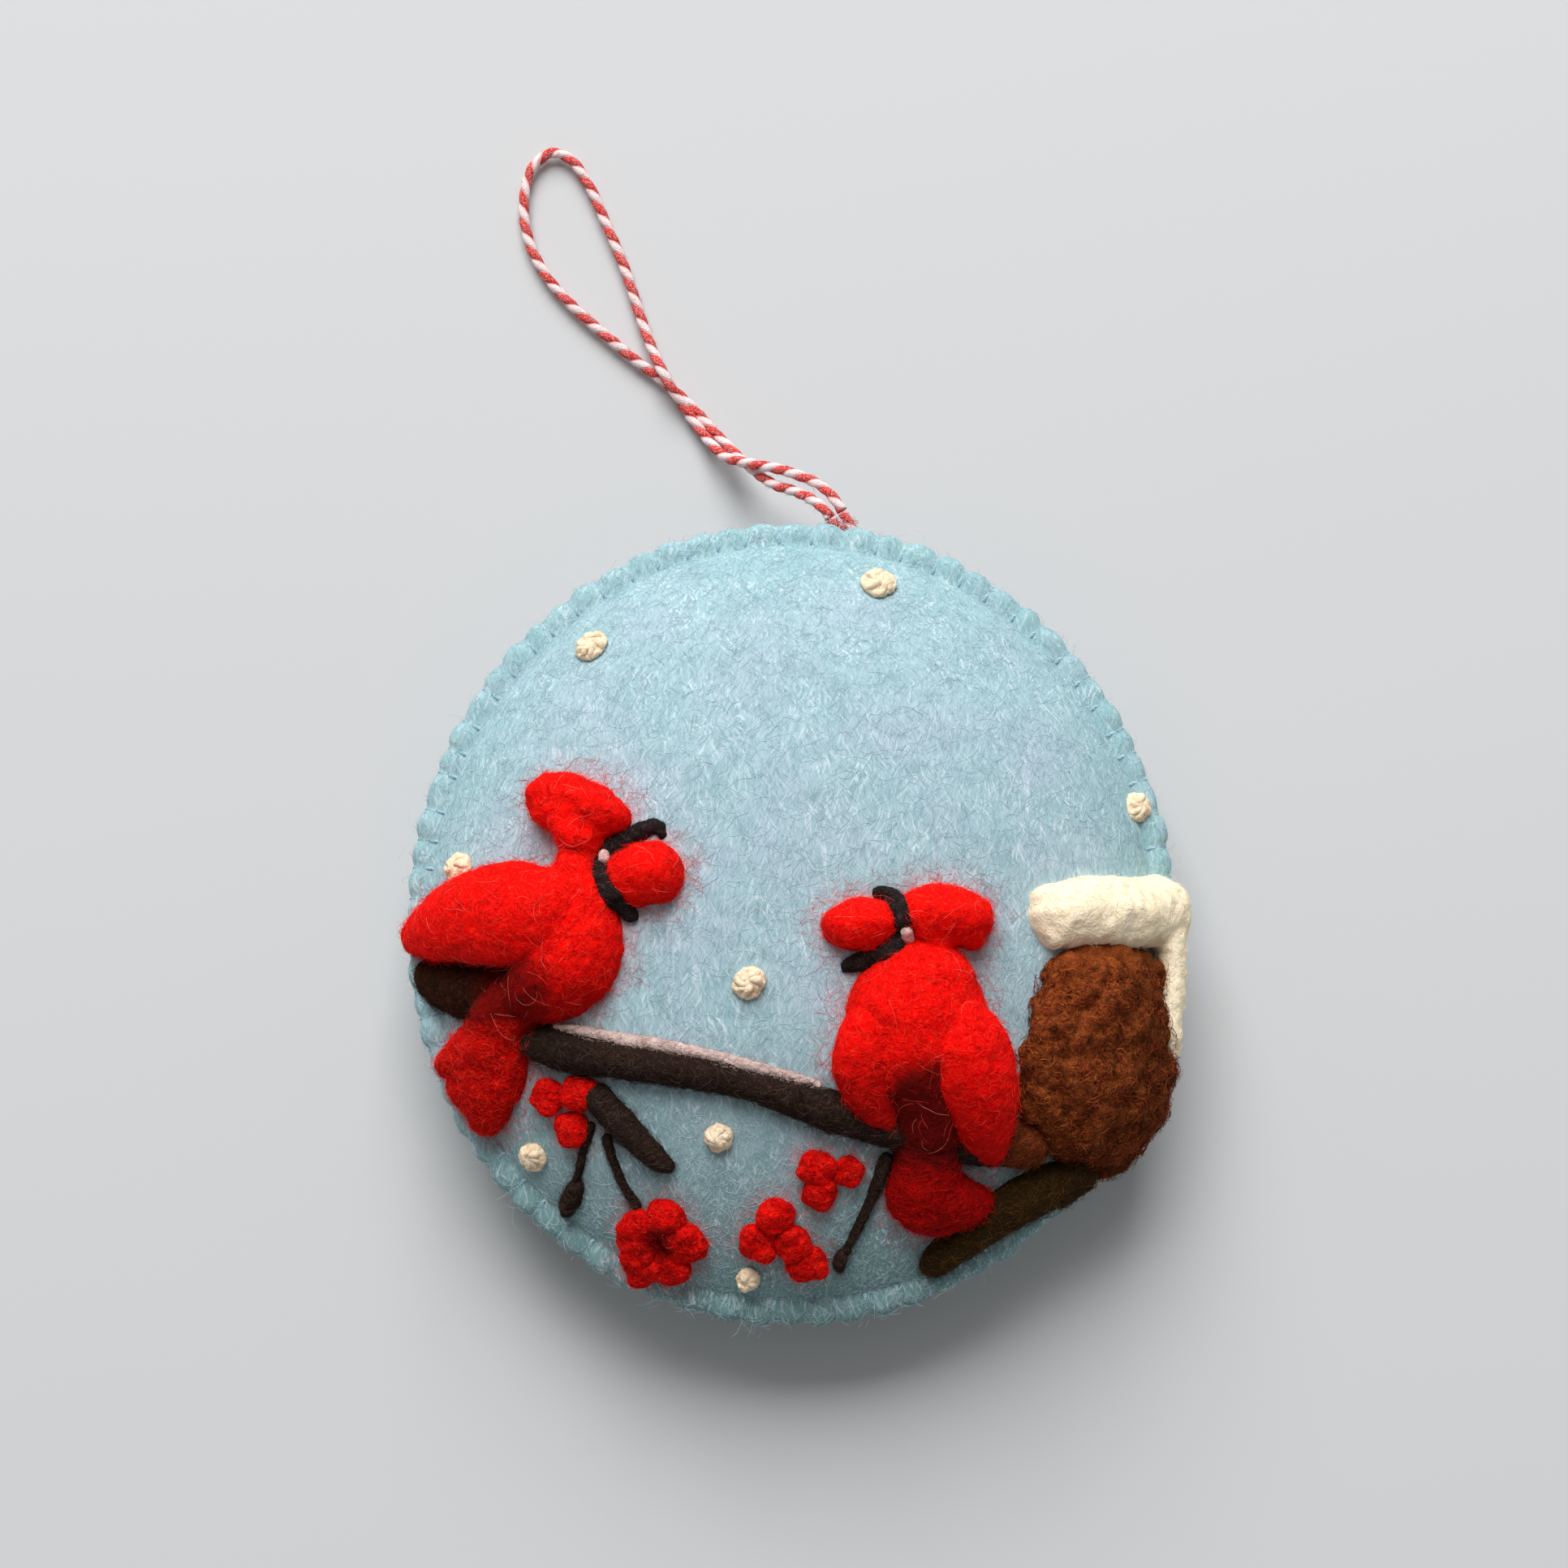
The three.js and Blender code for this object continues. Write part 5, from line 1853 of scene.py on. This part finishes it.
class FibreBrush:
    """Draws loose fibres out of finished pieces."""

    most = 5800
    grain = Vector((math.cos(math.pi / 2), math.sin(math.pi / 2), 0))
    least_lay = 0.1
    least_lift = 0.15
    root = 0.05
    wobble = 0.4
    arch = 0.85
    tip = 0.5
    thinnest, thickest = 0.7, 1.15

    def __init__(self, seed: int = 29) -> None:
        """Starts a fixed run of chance."""
        self.rng = random.Random(seed)

    def _starts(
        self, piece: Piece, count: int, keep: Callable[[Vector, Vector], bool]
    ) -> list[tuple[Vector, Vector]]:
        """Places and facings all over a piece, the same way apart on average."""
        polygons = piece.data.polygons
        faces = [(face.center / MM, face.normal.copy(), face.area) for face in polygons]
        faces = [face for face in faces if keep(face[0], face[1])]
        if not faces:
            return []
        chosen = self.rng.choices(faces, cum_weights=list(accumulate(f[2] for f in faces)), k=count)
        starts = []
        for place, normal, area in chosen:
            span = math.sqrt(area) / MM * 0.5
            shift = Vector([self.rng.uniform(-span, span) for _ in range(3)])
            starts.append((place + shift - normal * shift.dot(normal), normal))
        return starts

    def _fibre(self, fuzz: Fuzz, tree: BVHTree, start: Vector, facing: Vector) -> list[Vector]:
        """One fibre that lies along a surface, or strays off it."""
        rng = self.rng
        length = rng.uniform(fuzz.shortest, fuzz.longest)
        step = length / (fuzz.points - 1)
        lay = self.grain - facing * self.grain.dot(facing)
        if lay.length < self.least_lay:
            lay = facing.orthogonal()
        heading = Quaternion(facing, rng.uniform(-fuzz.spread, fuzz.spread)) @ lay.normalized()
        heading *= rng.choice((-1, 1))
        lift = fuzz.lift * rng.uniform(self.least_lift, 1.0)
        stray = rng.random() < fuzz.stray
        bend = rng.gauss(0, fuzz.curl)
        line = [start - facing * self.root]
        spot, normal = start, facing
        for k in range(1, fuzz.points):
            share = k / (fuzz.points - 1)
            turn = bend + rng.gauss(0, fuzz.curl * self.wobble)
            heading = Quaternion(normal, turn) @ heading
            heading = (heading - normal * heading.dot(normal)).normalized()
            found, turned = tree.find_nearest(spot + heading * step)[:2]
            if found is None:
                break
            spot, normal = found, turned
            rise = lift * math.sin(math.pi * (share * self.arch))
            if stray:
                rise = fuzz.stand * share * lift / fuzz.lift
            line.append(spot + normal * (rise + fuzz.radius * 0.5))
        return line

    def grow(
        self,
        name: str,
        piece: Piece,
        fuzz: Fuzz,
        slot: str,
        body: str = DISC_BODY,
        keep: Callable[[Vector, Vector], bool] = lambda place, facing: True,
    ) -> list[Piece]:
        """Grows fibres on a piece.

        Args:
            name: what the fibres are called.
            piece: what they grow on.
            fuzz: how they are.
            slot: the record's material slot; not used.
            body: the body that they ride on.
            keep: whether a place with a facing grows any.

        Returns:
            The fibres, a few thousand to a piece.
        """
        tree = tree_of(piece)
        starts = self._starts(piece, fuzz.count, keep)
        bundles = []
        for number, first in enumerate(range(0, len(starts), self.most), 1):
            data = bpy.data.curves.new(f"{name}_{number}", "CURVE")
            data.dimensions = "3D"
            data.bevel_depth = fuzz.radius * MM
            data.bevel_resolution = 0
            for finish in fuzz.finishes:
                data.materials.append(finish.material())
            for place, facing in starts[first : first + self.most]:
                line = self._fibre(fuzz, tree, place, facing)
                if len(line) < 2:
                    continue
                spline = data.splines.new("POLY")
                spline.points.add(len(line) - 1)
                spline.points.foreach_set(
                    "co", [part for spot in line for part in (*(spot * MM), 1.0)]
                )
                thick = self.rng.uniform(self.thinnest, self.thickest)
                widths = [thick] * (len(line) - 1) + [thick * self.tip]
                spline.points.foreach_set("radius", widths)
                spline.material_index = self.rng.randrange(len(fuzz.finishes))
            bundle = bpy.data.objects.new(f"{name}_{number}", data)
            settle(bundle, body)
            bundles.append(bundle)
        log.info("%s: %d fibres", name, len(starts))
        return bundles


FELT_FUZZ = Fuzz(
    FELT_FIBRES, 9500, 1.0, 2.8, 0.07, radius=0.017, curl=0.25, stray=0.05, stand=0.5, spread=0.75
)
BACK_FUZZ = replace(FELT_FUZZ, count=1500)
RIM_FUZZ = Fuzz(
    FELT_FIBRES, 4200, 0.6, 2.0, lift=0.25, radius=0.018, points=3, stray=0.45, stand=0.9
)
BACK_RIM_FUZZ = replace(RIM_FUZZ, count=2400)
HAZE_FUZZ = Fuzz(HAZE_FIBRES, 1300, 0.7, 2.4, lift=0.1, radius=0.014, stray=0.2, stand=0.6)
RED_FUZZ = Fuzz(
    RED_FIBRES, 1200, 0.5, 1.8, lift=0.24, radius=0.019, curl=0.6, points=3, stray=0.6, stand=0.8
)
LONG_HAIRS = Fuzz(
    HAIR_FIBRES, 100, 1.8, 4.8, lift=0.35, radius=0.016, curl=0.2, points=7, stray=0.25, stand=1.2
)
FELT_HAIRS = Fuzz(
    FELT_FIBRES[:1], 1200, 2.4, 6.0, lift=0.14, radius=0.015, curl=0.3, points=7,
    stray=0.1, stand=0.9, spread=0.7,
)
EDGE_HAIRS = Fuzz(
    FELT_FIBRES, 240, 1.5, 4.6, lift=0.4, radius=0.014, curl=0.3, points=6, stray=1.0, stand=2.2
)
TRUNK_FUZZ = Fuzz(
    TRUNK_FIBRES, 3000, 1.0, 2.8, lift=0.6, curl=1.3, points=5, stray=0.25, ceiling=-6.0
)
TRUNK_LOCKS = Fuzz(
    TRUNK_FIBRES, 1000, 1.6, 4.4, lift=0.45, radius=0.05, curl=1.4, points=7, stray=0.08,
    ceiling=-7.0,
)
CREAM_FUZZ = Fuzz(
    CREAM_FIBRES, 1400, 0.6, 2.0, lift=0.12, radius=0.018, points=3, stray=0.25, stand=0.6
)
BRANCH_FUZZ = Fuzz(BRANCH_FIBRES, 1000, 0.7, 2.4, lift=0.22, radius=0.019, stray=0.45, stand=0.8)
FROST_FUZZ = Fuzz(FROST_FIBRES, 300, 0.5, 1.8, lift=0.25, radius=0.018, stray=0.5, stand=0.6)
MASK_FUZZ = Fuzz(
    MASK_FIBRES, 200, 0.4, 1.4, lift=0.18, radius=0.019, points=3, stray=0.4, stand=0.5
)
BERRY_FUZZ = Fuzz(
    RED_FIBRES, 200, 0.4, 1.3, lift=0.18, radius=0.018, points=3, stray=0.4, stand=0.5
)
TWINE_FUZZ = Fuzz(
    TWINE_FIBRES, 700, 0.4, 1.4, lift=0.2, radius=0.016, points=3, stray=0.4, stand=0.5
)
TUFT_FUZZ = Fuzz(TWINE_FIBRES, 160, 0.5, 1.6, lift=0.3, radius=0.022, stray=0.7, stand=0.9)
KNOT_FUZZ = Fuzz(
    CREAM_FIBRES, 60, 0.4, 1.2, lift=0.15, radius=0.018, points=3, stray=0.4, stand=0.4
)

# Each coat: a finish, its fuzz, fibres per square millimetre, and the fibres that grow instead
# where the finish is faded, which are painted shade on the red wool, the wool's own colour on the
# main branch, and a red painted in shade on the dark feathers.
COATS: tuple[tuple[WoolFinish, Fuzz, float, tuple[FibreFinish, ...] | None], ...] = (
    (RED, RED_FUZZ, 3.8, None),
    (FAR_WING_RED, RED_FUZZ, 3.4, None),
    (NEAR_WING_RED, RED_FUZZ, 3.6, None),
    (TAIL_RED, RED_FUZZ, 3.8, PAINTED_SHADE_FIBRES),
    (LEFT_BODY_RED, RED_FUZZ, 3.8, PAINTED_SHADE_FIBRES),
    (RIGHT_BODY_RED, RED_FUZZ, 3.8, PAINTED_SHADE_FIBRES),
    (RIGHT_TAIL_SHADED_RED, replace(RED_FUZZ, finishes=RED_FIBRES[1:2]), 3.2, PAINTED_SHADE_FIBRES),
    (DARK_FEATHER, replace(RED_FUZZ, finishes=FEATHER_FIBRES[:1]), 5.0, FEATHER_FIBRES),
    (BRANCH, BRANCH_FUZZ, 4.2, None),
    (MAIN_BRANCH, BRANCH_FUZZ, 4.2, TRUNK_FIBRES),
    (LOWER_BRANCH, replace(BRANCH_FUZZ, finishes=BARK_FIBRES), 4.6, None),
    (FROST, FROST_FUZZ, 5.0, None),
    (MASK, MASK_FUZZ, 5.0, None),
    (CREAM, CREAM_FUZZ, 2.6, None),
    (TRUNK, TRUNK_FUZZ, 3.2, None),
    (TRUNK, TRUNK_LOCKS, 0.8, None),
    (RED, LONG_HAIRS, 0.14, None),
    (LEFT_BODY_RED, LONG_HAIRS, 0.14, None),
    (RIGHT_BODY_RED, LONG_HAIRS, 0.14, None),
    (TAIL_RED, LONG_HAIRS, 0.1, None),
)


@dataclass
class Studio:
    """A pale floor and plain soft light."""

    disc: Disc
    floor_half: float = 1.2
    key_power: float = 35.0
    key_size: float = 1.15
    key_distance: float = 1.6
    key_elevation_deg: float = 43.0
    key_azimuth_deg: float = 98.0
    floor_drop: float = 0.0004
    fill: float = 0.27

    def build(self) -> None:
        """Makes the floor, the lamp and the world."""
        mesh = bpy.data.meshes.new("studio_floor")
        bm = bmesh.new()
        bmesh.ops.create_grid(bm, x_segments=1, y_segments=1, size=self.floor_half)
        bm.to_mesh(mesh)
        bm.free()
        mesh.transform(Matrix.Translation((0, 0, -self.floor_drop)))
        mesh.materials.append(FLOOR.material())
        floor = bpy.data.objects.new("studio_floor", mesh)
        bpy.context.scene.collection.objects.link(floor)
        self._lamp()
        world = bpy.data.worlds.new("soft_room")
        world.use_nodes = True
        world.node_tree.nodes["Background"].inputs["Strength"].default_value = self.fill
        world.node_tree.nodes["Background"].inputs["Color"].default_value = (1, 1, 1, 1)
        bpy.context.scene.world = world
        bpy.context.scene.view_settings.view_transform = "Standard"

    def _lamp(self) -> None:
        """Makes the key lamp, aimed at the ornament."""
        data = bpy.data.lights.new("key_light", "AREA")
        data.shape = "SQUARE"
        data.size = self.key_size
        data.energy = self.key_power
        lamp = bpy.data.objects.new("key_light", data)
        bpy.context.scene.collection.objects.link(lamp)
        rise, round_about = math.radians(self.key_elevation_deg), math.radians(self.key_azimuth_deg)
        level = math.cos(rise)
        away = Vector(
            (level * math.cos(round_about), level * math.sin(round_about), math.sin(rise))
        )
        lamp.location = self.disc.centre * MM + away * self.key_distance
        lamp.rotation_euler = away.to_track_quat("Z", "Y").to_euler()


class Ornament:
    """The whole ornament, built from the twine inwards and then outwards to the wool."""

    tuft_inside, tuft_outside = 0.6, 1.2
    face_inset, edge_inset = 2.6, 2.8
    haze_reach, red_veil, brown_veil = 2.2, 3.2, 2.2
    shade_and_tone_share = 4
    inwards = -0.3

    def __init__(self) -> None:
        """Reads the solids, and sets the camera up first."""
        self.camera = PhotoCamera()
        self.disc = Disc.from_frame()
        self.camera.make(self.disc)
        self.brush = FibreBrush()

    def build(self) -> None:
        """Makes every piece in order."""
        twine = HangingLoop(self.disc).build()
        plan = StitchPlan.sewn(self.disc)
        front = FeltPanel(self.disc, plan, Side.FRONT).build()
        back = FeltPanel(self.disc, plan, Side.BACK).build()
        RimStitching(self.disc, plan).build()
        knot = Stuffing(self.disc).build()[1]
        relief = WoolRelief(self.disc, self.camera, front)
        for form in WOOL_FORMS:
            relief.add(form)
        berries = BerryBunch(relief).build()
        knots = SnowKnots(relief).build()
        self.brush_felts(front, back, relief, berries)
        self.brush_wool(relief, berries, knots)
        self.brush.grow("twine_fuzz", twine, TWINE_FUZZ, "striped_twine", LOOP_BODY)
        self.brush.grow("twine_tuft", knot, TUFT_FUZZ, "striped_twine", keep=self.at_the_exit)

    def at_the_exit(self, place: Vector, _: Vector) -> bool:
        """Whether a place lies just outside the seam, where the twine comes out."""
        away, rim = self.disc.outwards(place)
        return -self.tuft_inside < away.length - rim < self.tuft_outside

    def brush_felts(
        self, front: Piece, back: Piece, relief: WoolRelief, berries: list[Piece]
    ) -> None:
        """Raises the loose fibres of both felts, none of them under the relief."""
        disc = self.disc
        covers = list(relief.trees.values())

        def outer(place: Vector, facing: Vector) -> bool:
            """Whether the place is on the outer face, clear of the edge."""
            away, rim = disc.outwards(place)
            inside = away.length < rim - self.face_inset
            return inside and facing.z * (place.z - disc.centre.z) > 0

        def bare(place: Vector, facing: Vector) -> bool:
            """Whether the place is on the outer face and no wool covers it."""
            return outer(place, facing) and not any(dropped(tree, place) for tree in covers)

        def edge(place: Vector, facing: Vector) -> bool:
            """Whether the place is on the sewn edge's outside."""
            away, rim = disc.outwards(place)
            outside = facing.xy.dot(away.normalized()) > self.inwards
            return rim - self.edge_inset < away.length and outside

        birds = [relief.trees[form.name] for form in WOOL_FORMS if form.slot == "red_wool"]

        def beside_birds(place: Vector, facing: Vector) -> bool:
            """Whether the place is bare and within the haze of red wool round a bird."""
            return bare(place, facing) and any(
                tree.find_nearest(place, self.haze_reach)[0] is not None for tree in birds
            )

        reds = [*birds, *(tree_of(berry) for berry in berries)]
        browns = [relief.trees[form.name] for form in WOOL_FORMS if form.slot == "branch_wool"]
        veil(front, "red_veil", reds, self.red_veil)
        veil(front, "brown_veil", browns, self.brown_veil)
        self.brush.grow("red_haze", front, HAZE_FUZZ, "red_wool", keep=beside_birds)
        for name, felt, fuzz, keep in (
            ("felt_fuzz_front", front, FELT_FUZZ, bare),
            ("felt_hairs", front, FELT_HAIRS, bare),
            ("edge_hairs", front, EDGE_HAIRS, edge),
            ("felt_fuzz_back", back, BACK_FUZZ, outer),
            ("edge_fuzz_front", front, RIM_FUZZ, edge),
            ("edge_fuzz_back", back, BACK_RIM_FUZZ, edge),
        ):
            self.brush.grow(name, felt, fuzz, "light_blue_felt", keep=keep)

    def brush_wool(self, relief: WoolRelief, berries: list[Piece], knots: list[Piece]) -> None:
        """Raises the loose fibres of the wool pieces."""
        grow = self.brush.grow
        for form in WOOL_FORMS:
            piece = relief.pieces[form.name]
            area = sum(face.area for face in piece.data.polygons) / MM**2
            faded = form.finish.faded
            coats = [coat for coat in COATS if coat[0] is form.finish]
            for number, (_, fuzz, closeness, shade_and_tone_fibres) in enumerate(coats, 1):
                coat = replace(fuzz, count=int(area * closeness))
                name = f"{form.name}_fuzz_{number}"
                if shade_and_tone_fibres is None:
                    top = fuzz.ceiling
                    grow(name, piece, coat, form.slot, keep=lambda place, _: place.y < top)
                    continue
                # Where the finish is faded, fewer fibres grow in the faded part's colours, which
                # are mostly painted shade.
                dim = replace(coat, finishes=shade_and_tone_fibres, count=coat.count // self.shade_and_tone_share)
                grow(name, piece, coat, form.slot, keep=lambda place, _: not faded(place))
                grow(f"{name}_dim", piece, dim, form.slot, keep=lambda place, _: faded(place))
        for pieces, fuzz, slot in (
            (berries, BERRY_FUZZ, "red_wool"), (knots, KNOT_FUZZ, "cream_thread"),
        ):
            for piece in pieces:
                grow(f"{piece.name}_fuzz", piece, fuzz, slot)


def main() -> None:
    """Builds the ornament and the studio."""
    ornament = Ornament()
    ornament.build()
    Studio(ornament.disc).build()


if __name__ == "__main__":
    main()
